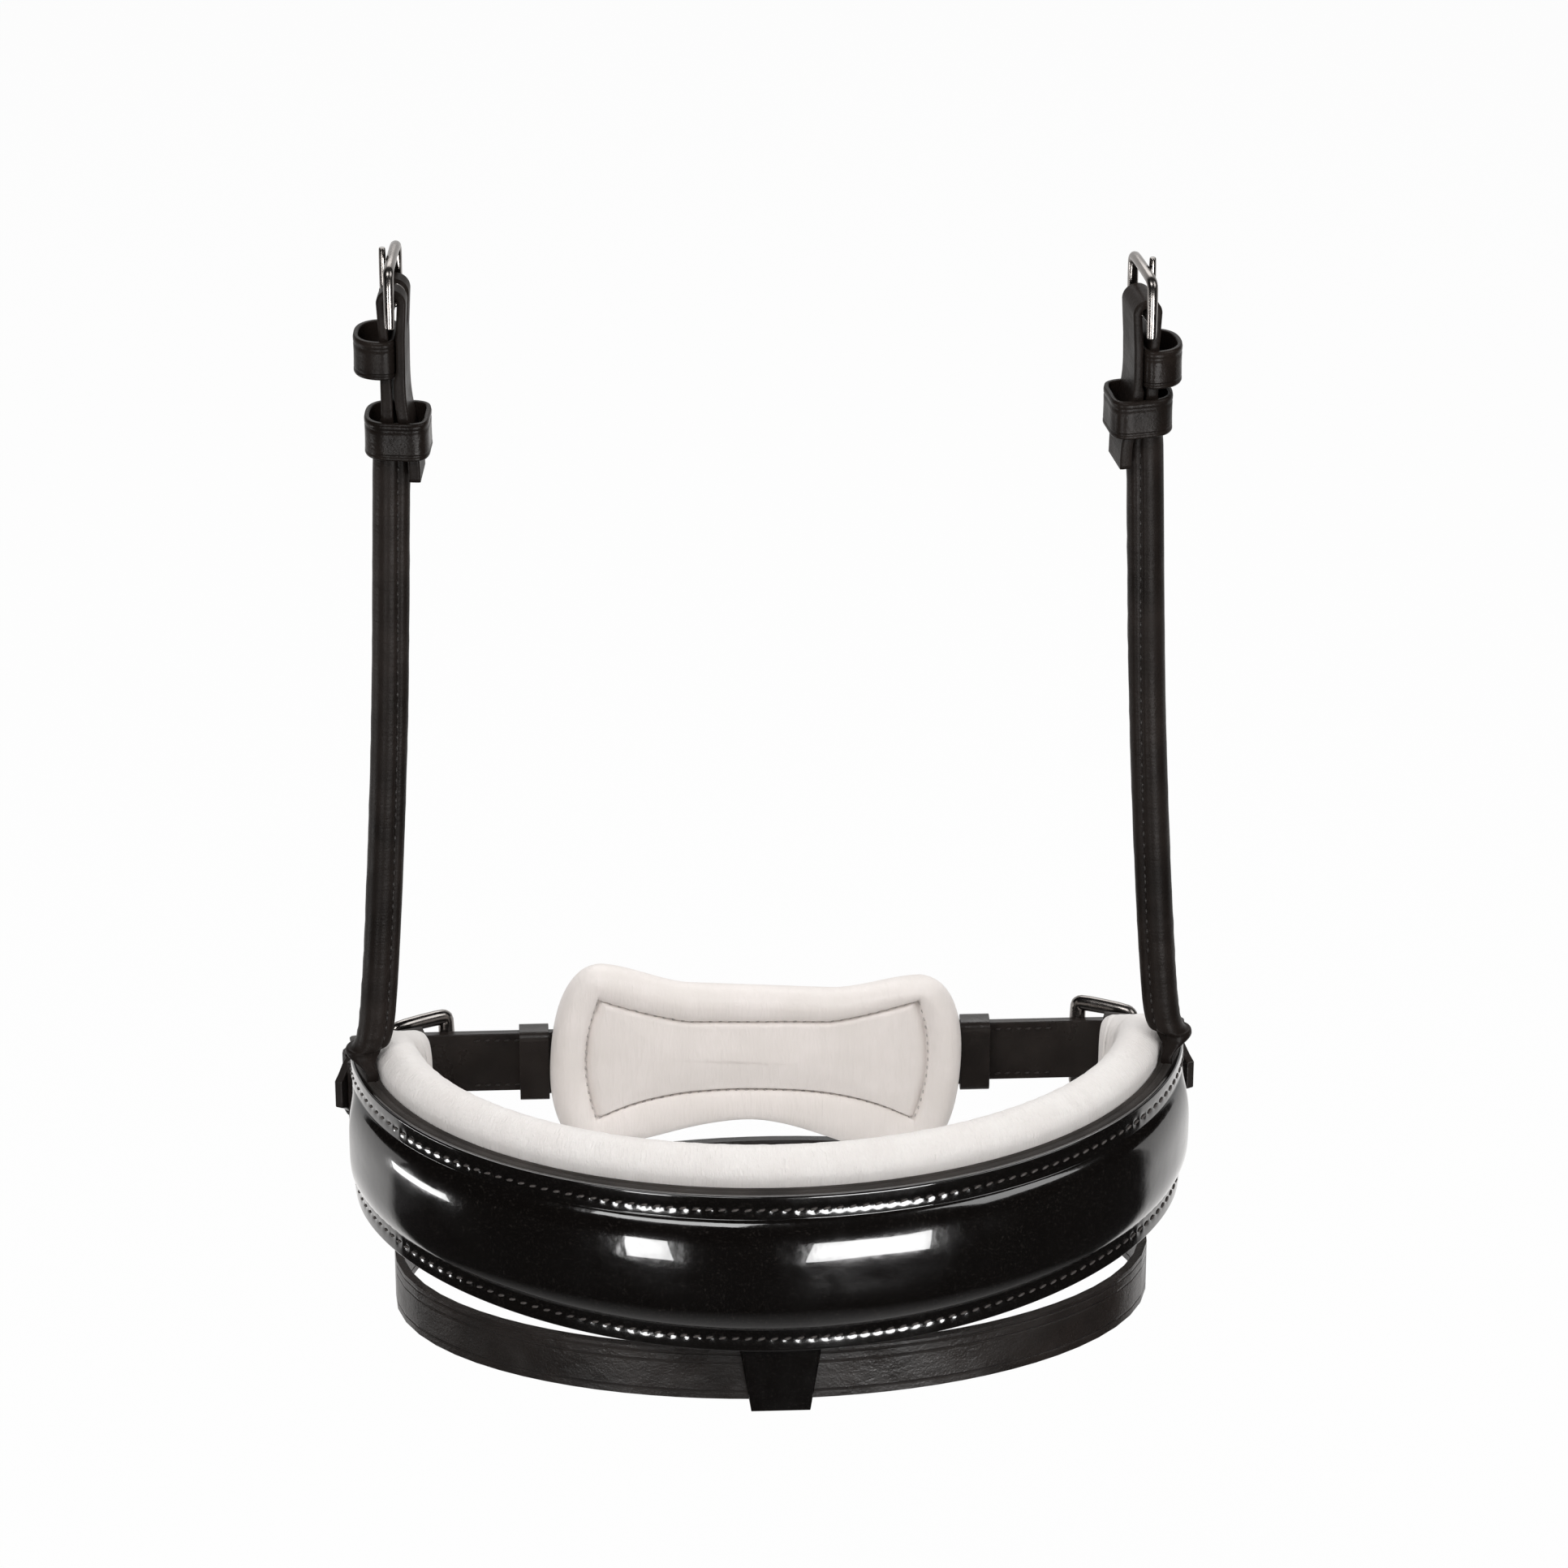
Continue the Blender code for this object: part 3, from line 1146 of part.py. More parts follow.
def flash_axes():
    """Return the flash buckle's axes about its bar."""
    origin = FLASH.place(0.0, 0.0)
    ahead = FLASH.place(-MM, 0.0)
    out = FLASH.place(0.0, MM)
    along = Vector((ahead.x - origin.x, ahead.y - origin.y, 0.0)).normalized()
    outward = Vector((out.x - origin.x, out.y - origin.y, 0.0)).normalized()
    along = (along - outward * along.dot(outward)).normalized()
    return buckle_axes(raised(origin, FLASH_Z), along, outward)


def build_flash():
    """Make the flash strap with its buckle and its runner."""
    points = flash_points()
    low, high = strip_heights(FLASH_Z, FLASH_WIDTH, plan_length(points), end_tip=FLASH_TIP)
    item = leather("flash_strap", plan_strip("flash_strap", points, low, high))
    solidify(item, STRAP_THICKNESS)
    axes = flash_axes()
    cut_tongue_slot(item, "flash", axes)
    cut_tongue_hole(item, "flash", axes, FLASH_FRAME_LENGTH - BAR_RADIUS)
    seat_origin(item, Vector((0.0, NOSE_FRONT_Y - FLASH_MIDDLE, FLASH_Z)))
    frame = buckle_frame("flash_frame", axes, FLASH_FRAME_LENGTH, FLASH_FRAME_HALF_WIDTH)
    seat_origin(frame, axes.translation)
    seat_origin(buckle_tongue("flash_tongue", axes, FLASH_FRAME_LENGTH), axes.translation)
    middle = FLASH_KEEPER_AT
    place = FLASH.place(middle, 0.0)
    ahead = FLASH.place(middle + MM, 0.0)
    out = FLASH.place(middle, MM)
    outward = Vector((out.x - place.x, out.y - place.y, 0.0)).normalized()
    along = Vector((place.x - ahead.x, place.y - ahead.y, 0.0)).normalized()
    ring = buckle_axes(raised(place, FLASH_Z), along, outward)
    ease = flash_main(middle - FLASH_KEEPER_LENGTH / 2.0)
    keeper_ring("flash_keeper", ring, -STRAP_THICKNESS / 2.0 - 1.5 * GAP, ease + 1.5 * STRAP_THICKNESS + 2.0 * GAP,
                FLASH_WIDTH / 2.0 + GAP, -FLASH_KEEPER_LENGTH / 2.0, FLASH_KEEPER_LENGTH / 2.0)


build_face()
build_filler()
build_backing()
build_nose_pad()
build_flash_loop()
for strap_side in SIDE_SIGN:
    build_cheek(strap_side)
CHIN_STRAP_Y = build_chin_strap()
CHIN_PLATE_Y = CHIN_STRAP_Y - STRAP_THICKNESS / 2.0 - GAP - CHIN_PLATE_THICKNESS / 2.0
CHIN_PAD_BACK_Y = CHIN_PLATE_Y - CHIN_PLATE_THICKNESS / 2.0 - GAP
build_chin_pad()
build_flash()
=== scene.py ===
"""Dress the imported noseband: smooth leather, stitches, padding, polished buckles, light and camera.

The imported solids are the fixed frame. Each sub-assembly is a class that makes its pieces in
the frame's own metres and gives them their finish. Lengths are in metres unless a name says so.
"""
from __future__ import annotations

import json
import logging
from bisect import bisect_left
from collections.abc import Callable, Sequence
from dataclasses import dataclass, field
from enum import Enum
from functools import cached_property
from math import atan2, copysign, cos, exp, isclose, pi, radians, sin, sqrt
from typing import ClassVar

import bmesh
import bpy
from bmesh.types import BMesh
from bpy.types import ID, Material, Node, NodeOutputs, NodeTree, Object
from bpy.types import NodeSocket as Socket
from mathutils import Matrix, Vector
from mathutils.bvhtree import BVHTree

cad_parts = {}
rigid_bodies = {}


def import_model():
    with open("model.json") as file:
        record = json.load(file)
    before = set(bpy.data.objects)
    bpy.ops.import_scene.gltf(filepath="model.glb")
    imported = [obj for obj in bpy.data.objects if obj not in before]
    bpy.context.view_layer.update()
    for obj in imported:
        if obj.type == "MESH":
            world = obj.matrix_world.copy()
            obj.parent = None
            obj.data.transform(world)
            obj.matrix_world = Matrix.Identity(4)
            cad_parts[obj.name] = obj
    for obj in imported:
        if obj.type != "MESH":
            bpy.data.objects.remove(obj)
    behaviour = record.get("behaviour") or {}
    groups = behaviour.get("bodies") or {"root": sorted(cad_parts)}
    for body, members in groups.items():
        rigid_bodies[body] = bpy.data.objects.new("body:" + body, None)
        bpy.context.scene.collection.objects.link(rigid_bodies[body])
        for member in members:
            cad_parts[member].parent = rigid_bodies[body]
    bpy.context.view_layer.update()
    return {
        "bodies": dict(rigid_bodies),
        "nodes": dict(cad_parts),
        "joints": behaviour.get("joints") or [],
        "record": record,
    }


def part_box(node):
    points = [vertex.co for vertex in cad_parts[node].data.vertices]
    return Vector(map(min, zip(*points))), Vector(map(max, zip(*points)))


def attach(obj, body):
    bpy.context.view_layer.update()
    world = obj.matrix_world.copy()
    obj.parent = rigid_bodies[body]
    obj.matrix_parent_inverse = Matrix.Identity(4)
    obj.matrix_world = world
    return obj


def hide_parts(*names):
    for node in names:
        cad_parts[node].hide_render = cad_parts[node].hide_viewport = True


LOG = logging.getLogger("noseband")
MM = 0.001
WELD = 0.004 * MM
TURN = 2.0 * pi
UP = Vector((0.0, 0.0, 1.0))
FRONT = Vector((0.0, -1.0, 0.0))
Pair = tuple[float, float]
Triple = tuple[float, float, float]
Place = tuple[Vector, Vector, Vector]
Rolled = tuple[Vector, Vector, Vector, float]
Outline = Sequence[tuple[Vector, Vector]]


class Side(Enum):
    """The two sides of the noseband, as seen in the photograph."""

    LEFT = "left"
    RIGHT = "right"

    @property
    def sign(self) -> float:
        """Return the sign of X on this side."""
        return -1.0 if self is Side.LEFT else 1.0


# Small mathematics


def smooth_step(value: float) -> float:
    """Ease from 0 to 1, flat at both ends."""
    held = min(1.0, max(0.0, value))
    return held * held * (3.0 - 2.0 * held)


def mix(low: float, high: float, share: float) -> float:
    """Mix two numbers or vectors by a share."""
    return low + (high - low) * share


def waves(value: float, pitches: Sequence[float], seed: float) -> float:
    """Add up sine waves of several pitches into a smooth, repeatable unevenness.

    Args:
        value: The place along the surface.
        pitches: The wavelengths, in the same unit.
        seed: A phase that makes one piece differ from the next.

    Returns:
        A number from about -1 to 1.
    """
    return sum(sin(TURN * value / pitch + seed * (index + 1.7))
               for index, pitch in enumerate(pitches)) / len(pitches)


def shares(steps: int) -> list[float]:
    """Return even shares from 0 to 1."""
    return [step / steps for step in range(steps + 1)]


def running_lengths(points: Sequence[Vector]) -> list[float]:
    """Measure along a line of points.

    Args:
        points: The points.

    Returns:
        The length from the first point to each point.
    """
    lengths = [0.0]
    for start, end in zip(points, points[1:]):
        lengths.append(lengths[-1] + (end - start).length)
    return lengths


def through(points: Sequence[Vector], steps: int) -> list[Vector]:
    """Pass a Catmull-Rom curve through points.

    Args:
        points: The points to pass through.
        steps: How many steps lie between each pair.

    Returns:
        The points of the smooth curve.
    """
    ends = [points[0] * 2.0 - points[1], *points, points[-1] * 2.0 - points[-2]]
    made: list[Vector] = []
    for index in range(1, len(ends) - 2):
        before, start, end, after = ends[index - 1:index + 3]
        for step in range(steps):
            t = step / steps
            made.append(0.5 * (2.0 * start + (end - before) * t
                               + (2.0 * before - 5.0 * start + 4.0 * end - after) * t * t
                               + (3.0 * start - before - 3.0 * end + after) * t ** 3))
    return made + [points[-1]]


# Mesh making


def new_piece(name: str, work: BMesh, smooth: bool = True) -> Object:
    """Turn a bmesh into a linked object at the origin.

    Args:
        name: The piece's name.
        work: The mesh, which is freed.
        smooth: Whether its faces shade smoothly.

    Returns:
        The new object.
    """
    for face in work.faces:
        face.smooth = smooth
    mesh = bpy.data.meshes.new(name)
    work.to_mesh(mesh)
    work.free()
    made = bpy.data.objects.new(name, mesh)
    bpy.context.scene.collection.objects.link(made)
    return made


def loft(name: str, rings: Sequence[Sequence[Vector]], size: Pair = (1.0, 1.0)) -> Object:
    """Join closed rings of points into one surface and fill its two ends.

    Args:
        name: The piece's name.
        rings: The rings, each with the same number of points.
        size: The real lengths that the two directions stand for on the UV map.

    Returns:
        The new object.
    """
    columns, rows = len(rings) - 1, len(rings[0])
    work = bmesh.new()
    bmesh.ops.create_grid(work, x_segments=columns, y_segments=rows, size=1.0, calc_uvs=True)
    layer = work.loops.layers.uv.active or work.loops.layers.uv.new("UVMap")
    for vert in work.verts:
        u, v = (vert.co.x + 1.0) / 2.0, (vert.co.y + 1.0) / 2.0
        for loop in vert.link_loops:
            loop[layer].uv = (u * size[0], v * size[1])
        vert.co = rings[round(u * columns)][round(v * rows) % rows]
    bmesh.ops.remove_doubles(work, verts=work.verts, dist=WELD)
    bmesh.ops.holes_fill(work, edges=[edge for edge in work.edges if edge.is_boundary], sides=0)
    bmesh.ops.recalc_face_normals(work, faces=work.faces)
    return new_piece(name, work)


def carve(piece: Object, axes: Matrix, size: Vector, centre: Vector) -> None:
    """Cut a box out of a piece.

    Args:
        piece: The piece that is cut.
        axes: The box's own axes and origin.
        size: The box's size along them.
        centre: The box's middle, in those axes.
    """
    work = bmesh.new()
    bmesh.ops.create_cube(work, size=1.0)
    bmesh.ops.scale(work, verts=work.verts, vec=size)
    bmesh.ops.translate(work, verts=work.verts, vec=centre)
    bmesh.ops.transform(work, verts=work.verts, matrix=axes)
    cutter = new_piece(piece.name + "_cutter", work)
    boolean = piece.modifiers.new("slot", "BOOLEAN")
    boolean.operation = "DIFFERENCE"
    boolean.solver = "EXACT"
    boolean.object = cutter
    bpy.context.view_layer.update()
    evaluated = piece.evaluated_get(bpy.context.evaluated_depsgraph_get())
    cleaned = bpy.data.meshes.new_from_object(evaluated)
    piece.modifiers.remove(boolean)
    piece.data = cleaned
    bpy.data.objects.remove(cutter, do_unlink=True)


# Materials


class Graph:
    """Adds nodes to one node tree and links them."""

    def __init__(self, tree: NodeTree) -> None:
        """Start on a tree."""
        self.tree = tree

    def feed(self, node: Node, inputs: dict) -> None:
        """Feed a node's inputs.

        Args:
            node: The node.
            inputs: Output sockets and constants, by the name or index of the input that they feed.
        """
        for key, value in inputs.items():
            if isinstance(value, Socket):
                self.tree.links.new(value, node.inputs[key])
            else:
                node.inputs[key].default_value = value

    def add(self, kind: str, inputs: dict | None = None, **settings: object) -> Node:
        """Add one node.

        Args:
            kind: The node's Blender type.
            inputs: Output sockets and constants, by the name or index of the input that they feed.
            **settings: The node's own properties.

        Returns:
            The new node.
        """
        node = self.tree.nodes.new(kind)
        for key, value in settings.items():
            setattr(node, key, value)
        self.feed(node, inputs or {})
        return node

    def calc(self, kind: str, first: object, second: object) -> Socket:
        """Return a Math node's result for two sockets or numbers."""
        return self.add("ShaderNodeMath", {0: first, 1: second}, operation=kind).outputs[0]

    def span(self, value: Socket, source: Pair, target: Pair = (0.0, 1.0)) -> Socket:
        """Return a value mapped from one span to another and held inside it."""
        ends = {"From Min": source[0], "From Max": source[1], "To Min": target[0], "To Max": target[1]}
        return self.add("ShaderNodeMapRange", {"Value": value, **ends}).outputs["Result"]

    def noise(self, place: Socket, **inputs: object) -> Socket:
        """Return a noise over a place."""
        return self.add("ShaderNodeTexNoise", {"Vector": place, **inputs}).outputs["Fac"]

    def split(self, place: Socket, axis: str) -> Socket:
        """Return one axis of a place."""
        return self.add("ShaderNodeSeparateXYZ", {"Vector": place}).outputs[axis]

    def stretch(self, place: Socket, scale: Triple) -> Socket:
        """Return a place with its axes scaled."""
        return self.add("ShaderNodeMapping", {"Vector": place, "Scale": scale}).outputs["Vector"]

    def group(self, tree: NodeTree, **inputs: object) -> NodeOutputs:
        """Return the outputs of a shared group that gets its own values."""
        return self.add("ShaderNodeGroup", inputs, node_tree=tree).outputs

    def colours(self, share: Socket, low: Triple, high: Triple) -> Socket:
        """Return a colour between two, mixed by a share."""
        ends = {"Factor": share, 6: (*low, 1.0), 7: (*high, 1.0)}
        return self.add("ShaderNodeMix", ends, data_type="RGBA").outputs[2]


Filler = Callable[[Graph, NodeOutputs], tuple]


class Groups:
    """The node groups that more than one finish shares, each built once."""

    pore_scale: float = 1.7
    tone_scale: float = 0.045
    cell_height: float = 0.7
    pore_height: float = 0.5
    tone_limits: Pair = (0.3, 0.7)
    smudge_limits: Pair = (0.35, 0.65)

    def __init__(self) -> None:
        """Build the groups."""
        self.grain = self.made("leather_grain", ("Scale",), ("Height", "Tone"), self.fill_grain)
        self.line = self.made("pressed_line", ("Level", "Width"), ("Depth",), self.fill_line)
        self.smudge = self.made("smudge", ("Scale", "Low", "High"), ("Value",), self.fill_smudge)

    @staticmethod
    def made(name: str, numbers: Sequence[str], outputs: Sequence[str], fill: Filler) -> NodeTree:
        """Make one group.

        Args:
            name: Its name.
            numbers: Its inputs beside the vector, all numbers.
            outputs: Its outputs, all numbers.
            fill: Adds its nodes and returns a socket for each output.

        Returns:
            The group's tree.
        """
        tree = bpy.data.node_groups.new(name, "ShaderNodeTree")
        tree.interface.new_socket("Vector", in_out="INPUT", socket_type="NodeSocketVector")
        for way, labels in (("INPUT", numbers), ("OUTPUT", outputs)):
            for label in labels:
                tree.interface.new_socket(label, in_out=way, socket_type="NodeSocketFloat")
        graph = Graph(tree)
        found = fill(graph, graph.add("NodeGroupInput").outputs)
        graph.add("NodeGroupOutput", dict(zip(outputs, found)))
        return tree

    def fill_grain(self, graph: Graph, given: NodeOutputs) -> tuple[Socket, Socket]:
        """Lay out leather grain.

        Args:
            graph: The group's graph.
            given: Its input sockets.

        Returns:
            The height of small cells with pores, and a slow change of tone.
        """
        place, scale = given["Vector"], given["Scale"]
        cells = graph.add("ShaderNodeTexVoronoi", {"Vector": place, "Scale": scale}, feature="SMOOTH_F1")
        pores = graph.noise(place, Scale=graph.calc("MULTIPLY", scale, self.pore_scale),
                            Detail=3.0, Roughness=0.55)
        tone = graph.noise(place, Scale=graph.calc("MULTIPLY", scale, self.tone_scale), Detail=2.0)
        height = graph.calc("ADD", graph.calc("MULTIPLY", cells.outputs["Distance"], self.cell_height),
                            graph.calc("MULTIPLY", pores, self.pore_height))
        return height, graph.span(tone, self.tone_limits)

    def fill_line(self, graph: Graph, given: NodeOutputs) -> tuple[Socket]:
        """Lay out one pressed line at a height.

        Args:
            graph: The group's graph.
            given: Its input sockets.

        Returns:
            The line's depth, from 0 to 1.
        """
        away = graph.calc("SUBTRACT", graph.split(given["Vector"], "Z"), given["Level"])
        share = graph.calc("DIVIDE", graph.calc("ABSOLUTE", away, 0.0), given["Width"])
        return (graph.span(share, (0.0, 1.0), (1.0, 0.0)),)

    def fill_smudge(self, graph: Graph, given: NodeOutputs) -> tuple[Socket]:
        """Lay out slow smudges and handling marks.

        Args:
            graph: The group's graph.
            given: Its input sockets.

        Returns:
            A value between the two limits.
        """
        noise = graph.noise(given["Vector"], Scale=given["Scale"], Detail=4.0, Roughness=0.6,
                            Distortion=0.4)
        width = graph.calc("SUBTRACT", given["High"], given["Low"])
        share = graph.calc("MULTIPLY", graph.span(noise, self.smudge_limits), width)
        return (graph.calc("ADD", given["Low"], share),)


@dataclass(frozen=True)
class Finish:
    """What every finish has: its names, colours, roughness and relief."""

    name: str
    slot: str
    dark: Triple
    light: Triple
    rough: Pair
    smudges: float = 55.0
    relief: float = 0.35 * MM
    strength: float = 0.8
    shine: float = 0.5
    others: ClassVar[dict[str, float]] = {}

    def surface(self, graph: Graph, groups: Groups, place: Socket) -> tuple[Socket, Socket]:
        """Lay out the nodes that are this finish's own.

        Args:
            graph: The material's graph.
            groups: The shared node groups.
            place: The Object coordinates.

        Returns:
            The share of the light colour, and the height.
        """
        raise NotImplementedError

    def build(self, groups: Groups) -> Material:
        """Make the material.

        Args:
            groups: The shared node groups.

        Returns:
            The new material.
        """
        made = bpy.data.materials.new(self.name)
        made.use_nodes = True
        graph = Graph(made.node_tree)
        place = graph.add("ShaderNodeTexCoord").outputs["Object"]
        share, height = self.surface(graph, groups, place)
        rough = graph.group(groups.smudge, Vector=place, Scale=self.smudges,
                            Low=self.rough[0], High=self.rough[1])
        bump = graph.add("ShaderNodeBump", {
            "Height": height, "Distance": self.relief, "Strength": self.strength})
        graph.feed(made.node_tree.nodes["Principled BSDF"], {
            "Base Color": graph.colours(share, self.dark, self.light), "Roughness": rough["Value"],
            "Normal": bump.outputs["Normal"],
            "Specular IOR Level": self.shine, **self.others})
        return made


@dataclass(frozen=True)
class PatentLeather(Finish):
    """Black leather under a thick, glossy, slightly wavy coat."""

    smudges: float = 40.0
    relief: float = 0.68 * MM
    strength: float = 0.35
    shine: float = 0.35
    others: ClassVar[dict[str, float]] = {"Coat Weight": 1.0, "Coat Roughness": 0.025, "Coat IOR": 1.42}
    wave_scale: float = 95.0
    speck_scale: float = 1500.0
    speck_limits: Pair = (0.6, 0.8)
    speck_height: float = 0.02

    def surface(self, graph: Graph, groups: Groups, place: Socket) -> tuple[Socket, Socket]:
        """Lay out small specks and a slow wave.

        Args:
            graph: The material's graph.
            groups: The shared node groups; not used.
            place: The Object coordinates.

        Returns:
            The share of the light colour, and the height.
        """
        wave = graph.noise(place, Scale=self.wave_scale, Detail=3.0, Roughness=0.45)
        specks = graph.noise(place, Scale=self.speck_scale, Detail=1.0)
        tone = graph.span(specks, self.speck_limits)
        return tone, graph.calc("ADD", wave, graph.calc("MULTIPLY", specks, self.speck_height))


@dataclass(frozen=True)
class StrapLeather(Finish):
    """Semi-matt black strap leather with grain, creases and pressed lines where the strap has them."""

    shine: float = 0.3
    grain_scale: float = 1500.0
    grain_height: float = 0.22
    crease_height: float = 0.4
    creases: Triple | None = (240.0, 240.0, 420.0)
    levels: tuple[float, ...] = ()
    line_width: float = 0.5 * MM

    def surface(self, graph: Graph, groups: Groups, place: Socket) -> tuple[Socket, Socket]:
        """Lay out the grain's tone and the height of grain, lines and creases.

        Args:
            graph: The material's graph.
            groups: The shared node groups.
            place: The Object coordinates.

        Returns:
            The share of the light colour, and the height.
        """
        grain = graph.group(groups.grain, Vector=place, Scale=self.grain_scale)
        height = graph.calc("MULTIPLY", grain["Height"], self.grain_height)
        for level in self.levels:
            line = graph.group(groups.line, Vector=place, Level=level, Width=self.line_width)
            height = graph.calc("SUBTRACT", height, line["Depth"])
        if self.creases:
            folds = graph.noise(graph.stretch(place, self.creases), Scale=1.0, Detail=3.0, Distortion=0.3)
            height = graph.calc("ADD", height, graph.calc("MULTIPLY", folds, self.crease_height))
        return grain["Tone"], height


@dataclass(frozen=True)
class WhiteLeather(Finish):
    """Soft white lining leather with fine wrinkles, along its own UV map or by place; the wrinkles' low
    parts are painted darker as shade.
    """

    smudges: float = 70.0
    relief: float = 0.5 * MM
    shine: float = 0.4
    others: ClassVar[dict[str, float]] = {"Sheen Weight": 0.08}
    wrinkles: Triple = (1500.0, 160.0, 1.0)
    by_place: bool = False
    grain_scale: float = 1800.0
    grain_height: float = 0.12
    # Wrinkle values and the colour levels that they give: painted shade in the wrinkles.
    painted_shade_span: Pair = (0.3, 0.6)
    painted_shade_levels: Pair = (0.4, 1.0)

    def surface(self, graph: Graph, groups: Groups, place: Socket) -> tuple[Socket, Socket]:
        """Lay out the tone, with painted shade in the wrinkles' low parts, and the height of grain and
        wrinkles.

        Args:
            graph: The material's graph.
            groups: The shared node groups.
            place: The Object coordinates.

        Returns:
            The share of the light colour, set by the grain's tone and the wrinkles' painted shade, and
            the height.
        """
        follow = place if self.by_place else graph.add("ShaderNodeTexCoord").outputs["UV"]
        folds = graph.noise(graph.stretch(follow, self.wrinkles), Scale=1.0, Detail=4.0, Roughness=0.55,
                            Distortion=0.9)
        grain = graph.group(groups.grain, Vector=place, Scale=self.grain_scale)
        # Painted shade: the colour darkens where the wrinkles lie low, on top of the grain's own random
        # tone.
        shade = graph.calc("MULTIPLY", grain["Tone"], graph.span(folds, self.painted_shade_span, self.painted_shade_levels))
        return shade, graph.calc("ADD", folds, graph.calc("MULTIPLY", grain["Height"], self.grain_height))


@dataclass(frozen=True)
class PolishedMetal(Finish):
    """Dark polished gunmetal with faint handling marks."""

    smudges: float = 120.0
    relief: float = 0.02 * MM
    strength: float = 0.4
    others: ClassVar[dict[str, float]] = {"Metallic": 1.0}
    cloud_scale: float = 160.0
    scratch_scale: float = 2600.0

    def surface(self, graph: Graph, groups: Groups, place: Socket) -> tuple[Socket, Socket]:
        """Lay out a slow cloud and fine scratches.

        Args:
            graph: The material's graph.
            groups: The shared node groups; not used.
            place: The Object coordinates.

        Returns:
            The share of the light colour, and the height.
        """
        cloud = graph.noise(place, Scale=self.cloud_scale, Detail=3.0)
        return cloud, graph.noise(place, Scale=self.scratch_scale, Detail=2.0)


@dataclass(frozen=True)
class Thread(Finish):
    """Waxed thread, seen as short stitches."""

    smudges: float = 300.0
    relief: float = 0.1 * MM
    strength: float = 0.5
    shine: float = 0.25
    fibre_scale: float = 3200.0

    def surface(self, graph: Graph, groups: Groups, place: Socket) -> tuple[Socket, Socket]:
        """Lay out the thread's fibres, for both.

        Args:
            graph: The material's graph.
            groups: The shared node groups; not used.
            place: The Object coordinates.

        Returns:
            The share of the light colour, and the height.
        """
        fibre = graph.noise(place, Scale=self.fibre_scale, Detail=1.0)
        return fibre, fibre


FLASH_LINES = (18.1 * MM, 15.2 * MM, 5.9 * MM)
FINISHES = (
    PatentLeather("patent_leather", "patent_leather",
                  (0.0035, 0.0028, 0.0025), (0.02, 0.017, 0.015), (0.10, 0.2)),
    StrapLeather("strap_leather", "black_leather",
                 (0.013, 0.0101, 0.0088), (0.025, 0.0195, 0.0170), (0.26, 0.40)),
    StrapLeather("keeper_leather", "black_leather",
                 (0.008, 0.0059, 0.0049), (0.019, 0.0142, 0.0120), (0.24, 0.38),
                 shine=0.07),
    StrapLeather("rolled_leather", "black_leather",
                 (0.010, 0.0076, 0.0065), (0.021, 0.0160, 0.0138), (0.32, 0.46),
                 creases=(60.0, 60.0, 620.0), shine=0.05),
    StrapLeather("edge_leather", "black_leather",
                 (0.020, 0.017, 0.015), (0.045, 0.038, 0.034), (0.5, 0.68),
                 creases=None),
    StrapLeather("flash_leather", "black_leather",
                 (0.011, 0.0085, 0.0074), (0.023, 0.0178, 0.0156), (0.24, 0.38),
                 levels=FLASH_LINES),
    WhiteLeather("white_leather", "white_leather",
                 (0.755, 0.715, 0.69), (0.805, 0.775, 0.75), (0.42, 0.58)),
    WhiteLeather("white_panel_leather", "white_leather",
                 (0.76, 0.71, 0.675), (0.82, 0.765, 0.735), (0.36, 0.5),
                 relief=0.3 * MM, wrinkles=(700.0, 300.0, 110.0), by_place=True),
    PolishedMetal("polished_gunmetal", "gunmetal",
                  (0.14, 0.128, 0.12), (0.26, 0.243, 0.23), (0.16, 0.3)),
    Thread("black_thread", "black_leather",
           (0.012, 0.010, 0.009), (0.05, 0.043, 0.04), (0.36, 0.5)),
    Thread("face_thread", "patent_leather",
           (0.03, 0.026, 0.024), (0.12, 0.105, 0.098), (0.36, 0.5)),
    Thread("white_thread", "white_leather",
           (0.34, 0.31, 0.295), (0.54, 0.505, 0.485), (0.5, 0.7)),
)


